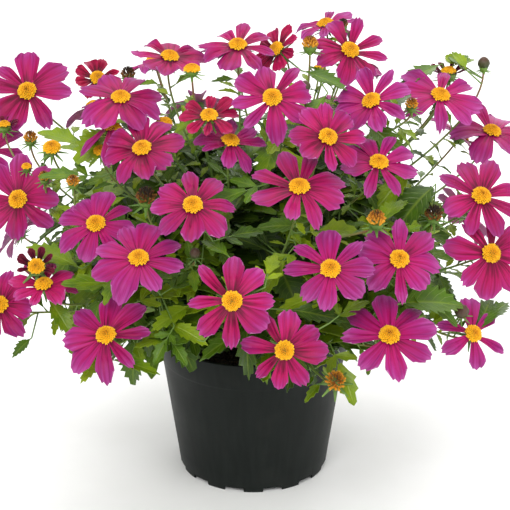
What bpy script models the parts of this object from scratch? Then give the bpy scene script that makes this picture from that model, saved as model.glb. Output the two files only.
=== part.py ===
"""Potted bidens: a bushy bedding plant in full flower, in a plain round nursery pot.

The plant is laid out as it is seen from one point in front of it. Each bloom, small head
and large leaf is given by its place across and up that view, and lies where the line of
sight meets the rounded top of the bush. Stems then grow to them out of the soil, and
whatever would cross a neighbour is turned or pushed back until it is clear.

Metres, +Z up. The origin is on the ground at the middle of the pot, and -Y is the front.
"""

import math
import random

import bmesh
import bpy
from mathutils import Matrix, Vector, noise
from mathutils.bvhtree import BVHTree
from mathutils.geometry import interpolate_bezier

# Pot: a thin moulded nursery pot with a collar, standing on short feet
POT_HEIGHT = 0.092
RIM_RADIUS = 0.060
BASE_RADIUS = 0.046
POT_WALL = 0.0012
POT_SIDES = 28
COLLAR_DEPTH = 0.0165
COLLAR_STEP = 0.0008
FEET = 12
FOOT_HEIGHT = 0.003
FLOOR_THICKNESS = 0.0015
BOSS_RADIUS = 0.015
BOSS_TAPER = 0.0005
DRAIN_LENGTH = 0.006
DRAIN_WIDTH = 0.007

# Soil: the root ball that fills the pot, with a hole for each main stem
SOIL_TOP = 0.084
SOIL_RINGS = (0.0, 0.020, 0.040)
SOIL_ROUGHNESS = 0.0013
HOLE_DEPTH = 0.014
HOLE_SIDES = 6
GAP = 0.0003

# View from which the plant is laid out
VIEW_RISE = math.radians(21.7)
VIEW_DISTANCE = 1.056
VIEW_AIM = Vector((0.0, 0.0, 0.139))
VIEW_RIGHT = Vector((1.0, 0.0, 0.0))
VIEW_UP = Vector((0.0, math.sin(VIEW_RISE), math.cos(VIEW_RISE)))
TOWARDS_VIEWER = Vector((0.0, -math.cos(VIEW_RISE), math.sin(VIEW_RISE)))

# Rounded top of the bush: half an egg shape over the pot
DOME_CENTRE = Vector((0.0, 0.0, 0.115))
DOME_RADII = Vector((0.165, 0.152, 0.170))

# Main stems, in an outer and an inner ring round the crown of the plant
CROWN = Vector((0.0, 0.0, 0.100))
STEM_RINGS = (
    {"count": 7, "ring": 0.027, "rise": 25, "reach": 0.100, "first": -134},
    {"count": 4, "ring": 0.011, "rise": 60, "reach": 0.100, "first": -120},
)
STEM_RADIUS = 0.0022
STEM_TIP_RADIUS = 0.0012
STEM_SIDES = 4
STEM_SPACING = 0.020
STALK_RADIUS = 0.0008
STALK_SIDES = 3
STALK_SPACING = 0.030
CALYX_HEIGHT = 0.005
CALYX_RADIUS = 0.0040
STALK_SWAYS = (0, 0.008, 0.016, 0.026, 0.036)
SWAY_WAYS = 6
BRANCH_FIRST = 0.34
BRANCH_STEP = 0.032
BRANCH_LAST = 0.98

# Blooms: rays round a raised disc of florets
BLADE = 0.0007
HUB_RADIUS = 0.0055
DISC_RADIUS = 0.0062
DISC_HEIGHT = 0.0034
PETAL_WIDTH = 0.215
PETAL_CORNERS = ((0.62, 1), (0.97, 0.55), (0.97, -0.55), (0.62, -1))
PUSHES = (0.0, 0.006, -0.006, 0.012, -0.012, 0.018, 0.024, 0.030)

# Blooms as seen from the front. Metres across and up the view, width of the bloom in
# metres, degrees that it leans up and turns right, roll in degrees, number of petals,
# degrees that the petals cup, metres behind the rounded top, and colour.
BLOOMS = (
    (-0.138, 0.100, 0.057, 20, -5, 17, 8, 8, 0.000, "pink"),
    (-0.095, 0.108, 0.030, 30, 10, 5, 8, 14, 0.016, "red"),
    (-0.081, 0.096, 0.053, 48, 0, 0, 8, 6, 0.000, "pink"),
    (-0.051, 0.121, 0.044, 52, 10, 25, 8, 6, 0.000, "pink"),
    (-0.068, 0.065, 0.050, 40, -10, 32, 8, 8, 0.000, "pink"),
    (-0.1435, 0.034, 0.054, 12, -15, 20, 8, 8, 0.000, "pink"),
    (-0.096, 0.019, 0.049, 32, -5, 10, 8, 8, 0.008, "pink"),
    (-0.070, -0.002, 0.052, 38, 0, 5, 8, 8, -0.006, "pink"),
    (-0.128, -0.018, 0.043, 50, -5, 10, 8, 10, 0.000, "rose"),
    (-0.1545, -0.0305, 0.047, 20, -20, 10, 8, 8, 0.000, "pink"),
    (-0.090, -0.049, 0.053, 32, -5, 20, 8, 6, 0.000, "pink"),
    (-0.037, 0.0305, 0.048, 28, 0, 25, 8, 8, 0.000, "pink"),
    (-0.013, -0.028, 0.050, 5, 0, 22, 8, 6, -0.004, "pink"),
    (0.019, -0.058, 0.047, 0, 0, 12, 8, 6, 0.000, "pink"),
    (0.028, 0.0415, 0.058, 42, 0, 0, 8, 8, 0.000, "pink"),
    (0.047, -0.0085, 0.052, 28, 0, 26, 8, 8, 0.000, "pink"),
    (0.089, -0.0025, 0.049, 25, 5, 20, 8, 8, 0.000, "pink"),
    (0.083, -0.049, 0.058, 30, 0, 30, 8, 6, 0.000, "pink"),
    (0.134, -0.048, 0.042, 20, 20, 40, 6, 6, 0.000, "pink"),
    (0.145, 0.001, 0.054, 8, 15, 20, 8, 8, 0.000, "pink"),
    (0.139, 0.036, 0.056, 30, 10, 0, 8, 8, 0.000, "pink"),
    (0.1455, 0.0755, 0.055, 52, 10, 0, 8, 6, 0.008, "pink"),
    (0.114, 0.0975, 0.056, 42, 10, 15, 8, 8, 0.000, "pink"),
    (0.072, 0.094, 0.048, 38, -20, 35, 8, 8, 0.000, "pink"),
    (0.0765, 0.0565, 0.047, 38, 5, 0, 8, 8, 0.000, "pink"),
    (0.0455, 0.072, 0.045, 30, 15, 25, 8, 8, 0.000, "pink"),
    (0.0115, 0.096, 0.050, 25, 0, 30, 8, 8, 0.000, "pink"),
    (-0.014, 0.0695, 0.042, 48, 10, 20, 8, 8, 0.022, "pink"),
    (-0.027, 0.085, 0.034, 42, 0, 25, 8, 10, 0.000, "red"),
    (-0.0095, 0.128, 0.046, 48, 0, 10, 8, 8, 0.000, "pink"),
    (0.014, 0.1255, 0.032, 30, -35, 30, 8, 12, 0.012, "red"),
    (0.059, 0.125, 0.049, 30, 15, 10, 8, 8, 0.000, "pink"),
    (0.0440, 0.141, 0.042, 62, -10, 15, 8, 8, 0.008, "pink"),
    (-0.161, 0.064, 0.048, 40, -15, 10, 8, 8, 0.000, "pink"),
    (-0.0855, 0.077, 0.040, 65, 0, 20, 6, -45, 0.010, "pink"),
)

# Rings of blooms on the far side: degrees of rise over the middle of the dome, how
# many, the bearings in degrees between which they are spread, with 90 at the back, and
# metres that they sit deeper than the rounded top
BACK_RINGS = ((6, 5, 30, 160, 0), (32, 4, 22, 142, 0), (58, 3, 40, 150, 0.015))

# Small heads without open petals: across, up, width, degrees that they lean up, metres
# behind the rounded top and kind. Discs and spent heads have lost their petals, and
# openings hold theirs upright.
HEADS = (
    (-0.0375, 0.114, 0.010, 60, 0.000, "disc"),
    (-0.123, 0.066, 0.011, 40, 0.000, "disc"),
    (-0.136, 0.071, 0.009, 60, 0.004, "spent"),
    (-0.152, 0.0795, 0.010, 60, -0.006, "opening"),
    (-0.1325, -0.007, 0.013, 20, 0.000, "opening"),
    (-0.093, 0.064, 0.009, 40, 0.020, "disc"),
    (-0.0545, 0.081, 0.010, 50, 0.010, "disc"),
    (0.119, 0.112, 0.013, 65, 0.000, "opening"),
    (0.075, 0.021, 0.011, 60, 0.000, "spent"),
    (0.110, 0.0245, 0.011, 50, 0.008, "spent"),
    (0.050, -0.077, 0.012, 20, 0.010, "spent"),
    (0.0345, 0.128, 0.010, 75, 0.004, "spent"),
    (-0.0655, 0.035, 0.012, 50, 0.010, "spent"),
    (0.1405, 0.116, 0.007, 70, 0.000, "bud"),
    (-0.0765, 0.110, 0.009, 60, 0.008, "bud"),
    (0.082, -0.0335, 0.009, 30, 0.012, "disc"),
)
BACK_HEADS = ((18, 2, 62, 128, "spent"), (46, 2, 70, 120, "disc"))

# Large leaves as seen from the front: across and up to the middle of the leaf, length,
# degrees that its tip points to in the view, metres behind the rounded top and shape
LEAVES = (
    (-0.1155, 0.073, 0.045, 135, 0.004, "lobed"),
    (-0.115, 0.0505, 0.035, 190, 0.006, "lobed"),
    (-0.1165, -0.0395, 0.028, -40, 0.004, "toothed"),
    (-0.142, -0.056, 0.016, 240, 0.002, "toothed"),
    (0.1505, -0.032, 0.028, 60, 0.004, "toothed"),
    (0.112, -0.0275, 0.040, 10, 0.004, "lobed"),
    (0.125, 0.1205, 0.018, 110, 0.000, "toothed"),
    (0.0985, 0.1115, 0.035, 200, 0.006, "toothed"),
    (0.0465, 0.108, 0.030, 200, 0.010, "toothed"),
    (0.0355, 0.087, 0.028, 250, 0.008, "toothed"),
    (0.0515, 0.0855, 0.024, 70, 0.006, "toothed"),
    (-0.0155, 0.0385, 0.045, 210, 0.018, "lobed"),
    (0.022, 0.059, 0.045, -30, 0.020, "lobed"),
    (0.007, 0.058, 0.040, 240, 0.022, "toothed"),
    (0.094, 0.0245, 0.040, 80, 0.016, "lobed"),
    (0.082, 0.0385, 0.035, 150, 0.018, "toothed"),
    (0.086, 0.0305, 0.030, 70, 0.010, "toothed"),
    (0.0835, 0.0715, 0.035, 190, 0.010, "toothed"),
    (0.056, -0.073, 0.038, -20, 0.006, "lobed"),
    (-0.0985, -0.069, 0.022, 250, 0.004, "toothed"),
    (-0.069, -0.066, 0.028, -10, 0.006, "toothed"),
    (-0.0965, -0.015, 0.045, 100, 0.012, "lobed"),
    (-0.125, 0.002, 0.035, 100, 0.010, "toothed"),
    (-0.054, -0.0215, 0.040, 0, 0.024, "lobed"),
    (0.020, 0.020, 0.036, 130, 0.030, "lobed"),
    (0.013, -0.008, 0.035, -110, 0.018, "lobed"),
    (-0.0235, 0.0075, 0.022, 120, 0.014, "toothed"),
    (0.042, -0.035, 0.035, -20, 0.018, "toothed"),
    (0.0875, 0.0965, 0.030, 60, 0.016, "toothed"),
    (0.050, 0.0165, 0.040, 45, 0.026, "lobed"),
)
LEAF_TURNS = (0, 25, -25, 50, -50, 80, -80, 120)
LEAF_LEAN = 42
PAIR_PLACE = 0.55
STALK_LEAF_PLACE = 0.45
FAR_SIDE = -0.03
PAIR_LENGTH = 0.042
LEAF_STALK = 0.0008
PAIR_TURNS = (0, 22, -22, 45, -45, 70, -70)

# Half outlines of a leaf, from its root to its tip: along the midrib and out from it,
# as shares of the length. The cuts are where the arched blade bends.
OUTLINES = {
    "lobed": ((0.22, 0.012), (0.46, 0.31), (0.50, 0.11), (0.72, 0.17), (1, 0)),
    "toothed": ((0.16, 0.014), (0.38, 0.20), (0.50, 0.15), (0.70, 0.16), (1, 0)),
}
BENDS = (0.50,)

COLOURS = {
    "pot": (0.017, 0.018, 0.018, 1),
    "soil": (0.040, 0.024, 0.014, 1),
    "green": (0.085, 0.190, 0.030, 1),
    "pink": (0.560, 0.030, 0.200, 1),
    "rose": (0.560, 0.015, 0.100, 1),
    "red": (0.400, 0.006, 0.040, 1),
    "disc": (0.850, 0.420, 0.015, 1),
}


def clear_scene():
    for obj in list(bpy.data.objects):
        bpy.data.objects.remove(obj)


def material(name, roughness):
    """A Principled material in one of the listed colours."""
    made = bpy.data.materials.new(name)
    made.use_nodes = True
    shader = made.node_tree.nodes["Principled BSDF"]
    shader.inputs["Base Color"].default_value = COLOURS[name]
    shader.inputs["Roughness"].default_value = roughness
    made.diffuse_color = COLOURS[name]
    return made


def collection(name):
    made = bpy.data.collections.new(name)
    bpy.context.scene.collection.children.link(made)
    return made


def as_mesh(obj):
    """The object as its modifiers or its bevel leave it, as a mesh of its own."""
    shaped = obj.evaluated_get(bpy.context.evaluated_depsgraph_get())
    return bpy.data.meshes.new_from_object(shaped)


def placed(name, mesh, group, *materials):
    """A mesh as an object of a collection, with its materials."""
    obj = bpy.data.objects.new(name, mesh)
    group.objects.link(obj)
    for finish in materials:
        mesh.materials.append(finish)
    return obj


def mesh_of(bm):
    mesh = bpy.data.meshes.new("mesh")
    bm.to_mesh(mesh)
    return mesh


def turned(profile, sides):
    """A profile of (radius, height) points turned round the Z axis, as a mesh."""
    outline = bpy.data.meshes.new("profile")
    corners = [(radius, 0, height) for radius, height in profile]
    outline.from_pydata(corners, [(i, i + 1) for i in range(len(corners) - 1)], [])
    guide = placed("profile", outline, guides)
    screw = guide.modifiers.new("Turn", "SCREW")
    screw.steps = screw.render_steps = sides
    screw.use_merge_vertices = True
    screw.merge_threshold = 0.00001
    mesh = as_mesh(guide)
    bpy.data.objects.remove(guide)
    return mesh


def wall_radius(height):
    """Outer radius of the tapered pot wall at a height, under its collar."""
    share = height / POT_HEIGHT
    return BASE_RADIUS + (RIM_RADIUS - COLLAR_STEP - BASE_RADIUS) * share


def inner_radius(height):
    return wall_radius(height) - POT_WALL


def hide_cutter(obj):
    obj.hide_render = True
    obj.display_type = "WIRE"


def box_cutters(name, places, length, width, low, high):
    """Upright boxes at (bearing, middle radius) places, length measured outwards."""
    bm = bmesh.new()
    for bearing, radius in places:
        spin = Matrix.Rotation(bearing, 4, "Z")
        move = Matrix.Translation((radius, 0, (low + high) / 2))
        size = Matrix.Diagonal((length, width, high - low, 1))
        bmesh.ops.create_cube(bm, size=1, matrix=spin @ move @ size)
    cutter = placed(name, mesh_of(bm), cutters)
    hide_cutter(cutter)
    return cutter


def cut(obj, cutter):
    boolean = obj.modifiers.new(cutter.name, "BOOLEAN")
    boolean.object = cutter
    boolean.operation = "DIFFERENCE"


def make_pot():
    """The pot, with notches that leave its feet and slots in its floor for water.

    A flat boss under the middle of the floor stands on the ground with the feet.
    """
    floor_top = FOOT_HEIGHT + FLOOR_THICKNESS
    collar_low = POT_HEIGHT - COLLAR_DEPTH
    profile = (
        (0, floor_top),
        (inner_radius(floor_top), floor_top),
        (inner_radius(POT_HEIGHT), POT_HEIGHT),
        (RIM_RADIUS, POT_HEIGHT),
        (wall_radius(collar_low) + COLLAR_STEP, collar_low),
        (wall_radius(collar_low), collar_low - COLLAR_STEP),
        (BASE_RADIUS, 0),
        (BASE_RADIUS - POT_WALL, 0),
        (inner_radius(FOOT_HEIGHT), FOOT_HEIGHT),
        (BOSS_RADIUS + BOSS_TAPER, FOOT_HEIGHT),
        (BOSS_RADIUS, 0),
        (0, 0),
    )
    pot = placed("pot", turned(profile, POT_SIDES), parts, material("pot", 0.55))
    step = math.tau / FEET
    between = [-math.pi / 2 + step * (i + 0.5) for i in range(FEET)]
    notch = box_cutters(
        "foot_notches",
        [(bearing, BASE_RADIUS) for bearing in between],
        8 * POT_WALL,
        step * BASE_RADIUS / 2,
        -FOOT_HEIGHT,
        0.9 * FOOT_HEIGHT,
    )
    slots = box_cutters(
        "drain_slots",
        [(bearing, BASE_RADIUS - 0.010) for bearing in between[::2]],
        DRAIN_LENGTH,
        DRAIN_WIDTH,
        FOOT_HEIGHT / 2,
        floor_top + FOOT_HEIGHT,
    )
    cut(pot, notch)
    cut(pot, slots)
    return pot


def make_soil(holes):
    """The root ball, crumbly on top, with a blind hole under each (x, y) in holes."""
    bottom = FOOT_HEIGHT + FLOOR_THICKNESS + GAP
    edge = inner_radius(SOIL_TOP) - GAP / math.cos(math.pi / POT_SIDES)
    foot = inner_radius(bottom) - GAP / math.cos(math.pi / POT_SIDES)
    top = [(radius, SOIL_TOP) for radius in SOIL_RINGS]
    mesh = turned((*top, (edge, SOIL_TOP), (foot, bottom), (0, bottom)), POT_SIDES)
    for vertex in mesh.vertices:
        spot = vertex.co
        if spot.z > SOIL_TOP - GAP and spot.xy.length < edge - GAP:
            spot.z += SOIL_ROUGHNESS * noise.noise(spot * 140)
    soil = placed("soil", mesh, parts, material("soil", 0.95))
    bm = bmesh.new()
    width = (STEM_RADIUS + GAP) / math.cos(math.pi / HOLE_SIDES)
    for x, y in holes:
        bmesh.ops.create_cone(
            bm,
            cap_ends=True,
            segments=HOLE_SIDES,
            radius1=width,
            radius2=width,
            depth=2 * HOLE_DEPTH,
            matrix=Matrix.Translation((x, y, SOIL_TOP)),
        )
    cutter = placed("stem_holes", mesh_of(bm), cutters)
    hide_cutter(cutter)
    cut(soil, cutter)
    return soil


def seen_at(across, up, behind):
    """The point seen at a place in the view, on the dome or some way behind its face."""
    eye = VIEW_AIM + TOWARDS_VIEWER * VIEW_DISTANCE
    sight = (VIEW_AIM + VIEW_RIGHT * across + VIEW_UP * up - eye).normalized()
    start = Vector([(eye - DOME_CENTRE)[i] / DOME_RADII[i] for i in range(3)])
    along = Vector([sight[i] / DOME_RADII[i] for i in range(3)])
    half = start.dot(along)
    inside = max(half * half - along.dot(along) * (start.dot(start) - 1), 0)
    return eye + sight * ((-half - math.sqrt(inside)) / along.dot(along) + behind)


def facing(lean, side):
    """The way a bloom faces that leans up and turns right by so many degrees."""
    lean = math.radians(lean)
    side = math.radians(side)
    forward = TOWARDS_VIEWER * math.cos(lean) + VIEW_UP * math.sin(lean)
    return forward * math.cos(side) + VIEW_RIGHT * math.sin(side)


def on_dome(rise, bearing):
    """A point on the dome by its rise and bearing in degrees, and the way out there."""
    rise = math.radians(rise)
    bearing = math.radians(bearing)
    out = Vector(
        (math.cos(rise) * math.cos(bearing), math.cos(rise) * math.sin(bearing), math.sin(rise))
    )
    return DOME_CENTRE + Vector([out[i] * DOME_RADII[i] for i in range(3)]), out


def spread(rings):
    """Evenly spread places on the far side, a little off line, with the rest of a row."""
    rng = random.Random(5)
    for rise, count, first, last, *rest in rings:
        for i in range(count):
            bearing = first + (last - first) * i / (count - 1)
            place, out = on_dome(rise + rng.uniform(-5, 5), bearing + rng.uniform(-5, 5))
            yield place, out, rng.uniform(0, 45), rest


def upright_frame(place, normal, roll):
    """A frame at a place whose Z is the normal and whose X starts from the view's right."""
    side = VIEW_RIGHT - normal * VIEW_RIGHT.dot(normal)
    if side.length < 0.3:
        side = VIEW_UP - normal * VIEW_UP.dot(normal)
    side.normalize()
    frame = Matrix((side, normal.cross(side), normal)).transposed().to_4x4()
    return Matrix.Translation(place) @ frame @ Matrix.Rotation(math.radians(roll), 4, "Z")


def petal_points(rng, reach, turn, cup):
    """Corners of one petal from its left side round the tip to its right side."""
    length = reach - HUB_RADIUS
    wide = PETAL_WIDTH * reach * rng.uniform(0.94, 1.08)
    length *= rng.uniform(0.93, 1.03)
    turn += math.radians(rng.uniform(-3.5, 3.5))
    lift = math.tan(math.radians(cup + rng.uniform(-5, 5)))
    twist = rng.uniform(-0.06, 0.06)
    droop = rng.uniform(0.10, 0.30)
    points = []
    for along, across in PETAL_CORNERS:
        out = HUB_RADIUS + along * length
        side = across * wide
        height = length * (lift * along - droop * along * along) + twist * side
        spot = Vector((out, side, height))
        points.append(Matrix.Rotation(turn, 3, "Z") @ spot)
    return points


def raised_disc(bm, top):
    """The dome of florets raised on the hub's top face, ragged at its widest ring."""
    for radius, height in ((DISC_RADIUS, 0.40), (0.70 * DISC_RADIUS, 0.85)):
        top = bmesh.ops.extrude_discrete_faces(bm, faces=[top])["faces"][0]
        for i, corner in enumerate(top.verts):
            ragged = radius * (1.06 if i % 2 else 0.94)
            corner.co = Vector((*corner.co.xy.normalized() * ragged, height * DISC_HEIGHT))
    bmesh.ops.poke(bm, faces=[top], offset=0.15 * DISC_HEIGHT)
    for face in bm.faces:
        middle = face.calc_center_median()
        face.material_index = int(middle.z > 0 and middle.xy.length < DISC_RADIUS)


def bloom_solid(seed, width, petals, cup, thickness=BLADE):
    """One bloom that faces +Z with the top of its hub on the origin, as a closed bmesh."""
    rng = random.Random(seed)
    bm = bmesh.new()
    hub = bmesh.ops.create_circle(bm, segments=petals, radius=HUB_RADIUS)["verts"]
    rays = []
    for i, corner in enumerate(hub):
        following = hub[(i + 1) % petals]
        middle = (corner.co + following.co).xy
        turn = math.atan2(middle.y, middle.x)
        tips = petal_points(rng, width / 2, turn, cup)
        if corner.co.cross(following.co).z > 0:
            tips.reverse()
        rays.append(bm.faces.new([following, corner, *[bm.verts.new(tip) for tip in tips]]))
    bmesh.ops.recalc_face_normals(bm, faces=rays)
    bmesh.ops.triangulate(bm, faces=rays)
    bm.faces.new(hub)
    bmesh.ops.recalc_face_normals(bm, faces=bm.faces)
    bm.faces.ensure_lookup_table()
    if bm.faces[-1].normal.z < 0:
        bmesh.ops.reverse_faces(bm, faces=bm.faces)
    bmesh.ops.solidify(bm, geom=bm.faces[:], thickness=thickness)
    hubs = [face for face in bm.faces if len(face.verts) == petals]
    raised_disc(bm, max(hubs, key=lambda face: face.calc_center_median().z))
    return bm


def tree_of(bm, matrix=Matrix.Identity(4)):
    """A search tree of a bmesh moved by a matrix. The bmesh is used up."""
    bm.transform(matrix)
    tree = BVHTree.FromBMesh(bm)
    bm.free()
    return tree


def bloom_rows():
    """Every bloom as (place, facing, roll, width, petals, cup, colour, way to push it)."""
    for across, up, width, lean, side, roll, petals, cup, behind, colour in BLOOMS:
        place = seen_at(across, up, behind)
        sight = (place - VIEW_AIM - TOWARDS_VIEWER * VIEW_DISTANCE).normalized()
        yield place, facing(lean, side), roll, width, petals, cup, colour, sight
    for place, out, roll, (deeper,) in spread(BACK_RINGS):
        normal = (out + Vector((0, 0, 0.55))).normalized()
        yield place - out * deeper, normal, roll, 0.048, 7, 7, "pink", -out


def make_blooms():
    """The blooms, each pushed in or out until its petals are clear of those before it."""
    finishes = {name: material(name, 0.5) for name in ("pink", "rose", "red", "disc")}
    made = []
    for number, row in enumerate(bloom_rows(), 1):
        place, normal, roll, width, petals, cup, colour, inward = row
        for push in PUSHES:
            frame = upright_frame(place + inward * push, normal, roll)
            room = tree_of(bloom_solid(number, width, petals, cup, BLADE + 2 * GAP), frame)
            if not any(room.overlap(other["tree"]) for other in made):
                break
        mesh = mesh_of(bloom_solid(number, width, petals, cup))
        obj = placed(f"bloom_{number:02d}", mesh, parts, finishes[colour], finishes["disc"])
        obj.matrix_world = frame
        tree = tree_of(bloom_solid(number, width, petals, cup), frame)
        made.append({"place": frame.translation.copy(), "normal": normal, "tree": tree})
    return made


def curve_points(start, first, second, end, spacing):
    """Points along a smooth curve, about a spacing apart."""
    length = (first - start).length + (second - first).length + (end - second).length
    return interpolate_bezier(start, first, second, end, max(4, round(length / spacing) + 1))


def main_stem_paths():
    """Centre lines of the main stems: straight up out of the soil, then arching out."""
    rng = random.Random(2)
    paths = []
    for ring in STEM_RINGS:
        for i in range(ring["count"]):
            bearing = math.radians(ring["first"] + 360 * i / ring["count"] + rng.uniform(-6, 6))
            rise = math.radians(ring["rise"] + rng.uniform(-4, 4))
            out = Vector((math.cos(bearing), math.sin(bearing), 0))
            tip_way = out * math.cos(rise) + Vector((0, 0, math.sin(rise)))
            root = out * ring["ring"] + Vector((0, 0, SOIL_TOP - HOLE_DEPTH + GAP))
            mouth = root + Vector((0, 0, HOLE_DEPTH + 0.003))
            tip = CROWN + tip_way * ring["reach"]
            above = mouth + Vector((0, 0, 0.35 * (tip - mouth).length))
            below = tip - tip_way * (0.3 * (tip - mouth).length)
            paths.append([root, *curve_points(mouth, above, below, tip, STEM_SPACING)])
    return paths


def sharing(path, share):
    """The point at a share of a path's length and the direction there."""
    lengths = [(b - a).length for a, b in zip(path, path[1:])]
    left = share * sum(lengths)
    for a, b, length in zip(path, path[1:], lengths):
        if left <= length:
            break
        left -= length
    return a.lerp(b, min(left / length, 1)), (b - a).normalized()


def section(sides):
    """A many-sided outline of radius 1 that a tube is drawn along its path with."""
    name = f"section_{sides}"
    if name not in bpy.data.objects:
        outline = bpy.data.curves.new(name, "CURVE")
        spline = outline.splines.new("POLY")
        spline.points.add(sides - 1)
        spline.use_cyclic_u = True
        for i, point in enumerate(spline.points):
            turn = math.tau * i / sides
            point.co = (math.cos(turn), math.sin(turn), 0, 1)
        guide = bpy.data.objects.new(name, outline)
        guides.objects.link(guide)
        hide_cutter(guide)
    return bpy.data.objects[name]


def tube(path, radii, sides):
    """A tapering tube along a path, capped at both ends, as a mesh."""
    curve = bpy.data.curves.new("tube", "CURVE")
    curve.dimensions = "3D"
    curve.bevel_mode = "OBJECT"
    curve.bevel_object = section(sides)
    curve.use_fill_caps = True
    spline = curve.splines.new("POLY")
    spline.points.add(len(path) - 1)
    for point, place, radius in zip(spline.points, path, radii):
        point.co = (*place, 1)
        point.radius = radius
    guide = bpy.data.objects.new("tube", curve)
    guides.objects.link(guide)
    bm = bmesh.new()
    bm.from_mesh(as_mesh(guide))
    bpy.data.objects.remove(guide)
    bmesh.ops.remove_doubles(bm, verts=bm.verts, dist=0.000001)
    bmesh.ops.recalc_face_normals(bm, faces=bm.faces)
    mesh = mesh_of(bm)
    bm.free()
    return mesh


def samples(path, spacing=0.0015):
    """Points close together along a path."""
    found = []
    for a, b in zip(path, path[1:]):
        steps = max(1, round((b - a).length / spacing))
        found += [a.lerp(b, i / steps) for i in range(steps)]
    return found + [path[-1]]


def spots_are_clear(spots, radius, trees):
    """Whether a tube along the spots stays off everything in the search trees."""
    reach = radius + 3 * GAP
    return not any(tree.find_nearest(spot, reach)[0] for tree in trees for spot in spots)


def head_rows():
    """Every small head as (place, facing, width, kind, way to push it)."""
    for across, up, width, lean, behind, kind in HEADS:
        place = seen_at(across, up, behind)
        sight = (place - VIEW_AIM - TOWARDS_VIEWER * VIEW_DISTANCE).normalized()
        yield place, facing(lean, 0), width, kind, sight
    for place, out, _, (kind,) in spread(BACK_HEADS):
        yield place, (out + Vector((0, 0, 1))).normalized(), 0.009, kind, -out


def head_solid(width, kind):
    """A small head that faces +Z with its middle on the origin, as a closed bmesh."""
    bm = bmesh.new()
    if kind == "opening":
        bmesh.ops.create_cone(
            bm,
            cap_ends=True,
            segments=6,
            radius1=0.24 * width,
            radius2=0.50 * width,
            depth=0.70 * width,
        )
        lid = max(bm.faces, key=lambda face: face.calc_center_median().z)
        bmesh.ops.poke(bm, faces=[lid], offset=0.22 * width)
        return bm
    height = {"bud": 1.2, "disc": 0.75, "spent": 0.9}[kind]
    squash = Matrix.Diagonal((1, 1, height, 1))
    bmesh.ops.create_icosphere(bm, subdivisions=1, radius=width / 2, matrix=squash)
    return bm


def stalk_paths(stem, place, normal):
    """Ways for a stalk to leave a main stem and come up behind a head, plainest first."""
    way = (place - CROWN).normalized()
    spare = math.degrees(way.angle(stem["path"][-1] - CROWN)) / 75
    wanted = sorted(stem["buds"], key=lambda share: abs(share - (1 - spare)))
    for sway in STALK_SWAYS:
        for share in wanted[:3]:
            start, along = sharing(stem["path"], share)
            end = place - normal * CALYX_HEIGHT
            span = (end - start).length
            aim = (end - start).normalized()
            off = (aim - along * aim.dot(along)).normalized()
            leave = (0.8 * along + off + aim).normalized()
            for turn in range(SWAY_WAYS if sway else 1):
                aside = leave.orthogonal().normalized() * sway
                aside.rotate(Matrix.Rotation(math.tau * turn / SWAY_WAYS, 3, leave))
                first = start + leave * 0.33 * span + aside
                second = end - normal * 0.24 * span + aside * 0.7
                yield share, curve_points(start, first, second, end, STALK_SPACING)


def add_piece(stem, mesh):
    """Keeps a mesh to fuse with a stem, and its search tree."""
    bm = bmesh.new()
    bm.from_mesh(mesh)
    stem["pieces"].append(mesh)
    stem["trees"].append(tree_of(bm))


def others(stems, stem):
    return [tree for other in stems if other is not stem for tree in other["trees"]]


def beyond(path, length):
    """The stretch of a path that lies past a length from its start."""
    return [spot for spot in samples(path) if (spot - path[0]).length > length]


def choose_stalk(stems, place, normal, blooms, own):
    """The plainest stalk that is clear of the rest, off one of the nearest stems."""
    way = (place - CROWN).normalized()
    nearest = sorted(stems, key=lambda each: way.angle(each["path"][-1] - CROWN))
    petals = [bloom["tree"] for bloom in blooms if bloom is not own]
    spare = None
    for stem in nearest[:3]:
        trees = others(stems, stem) + petals
        for share, path in stalk_paths(stem, place, normal):
            if own and not spots_are_clear(samples(path[:-1]), STALK_RADIUS, [own["tree"]]):
                continue
            if not spots_are_clear(samples(path), STALK_RADIUS, trees):
                continue
            if spots_are_clear(beyond(path, 0.012), STALK_RADIUS, stem["trees"]):
                return stem, share, path
            spare = spare or (stem, share, path)
    return spare


def grow_stalk(choice, end, end_radius):
    """A chosen stalk, drawn on to its end inside a small head or under a bloom."""
    stem, share, path = choice
    stem["buds"].remove(share)
    stem["lines"].append(path)
    radii = [STALK_RADIUS] * len(path) + [end_radius]
    add_piece(stem, tube([*path, end], radii, STALK_SIDES))


def grow_bloom_stalks(stems, blooms):
    """A stalk under each bloom, flared at its end into the green cup that holds it."""
    for bloom in blooms:
        seat = bloom["place"] - bloom["normal"] * (BLADE + GAP)
        choice = choose_stalk(stems, bloom["place"], bloom["normal"], blooms, bloom)
        grow_stalk(choice, seat, CALYX_RADIUS)


def grow_heads(stems, blooms):
    """The small heads, each pushed in or out until it and its stalk are clear."""
    for place, normal, width, kind, inward in head_rows():
        for push in PUSHES:
            frame = upright_frame(place + inward * push, normal, 0)
            room = tree_of(head_solid(width + 2 * GAP, kind), frame)
            taken = [bloom["tree"] for bloom in blooms]
            taken += [tree for stem in stems for tree in stem["trees"]]
            middle = frame.translation.copy()
            if any(room.overlap(tree) for tree in taken):
                continue
            choice = choose_stalk(stems, middle, normal, blooms, None)
            if choice:
                grow_stalk(choice, middle, STALK_RADIUS)
                bm = head_solid(width, kind)
                bm.transform(frame)
                add_piece(choice[0], mesh_of(bm))
                break


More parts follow.
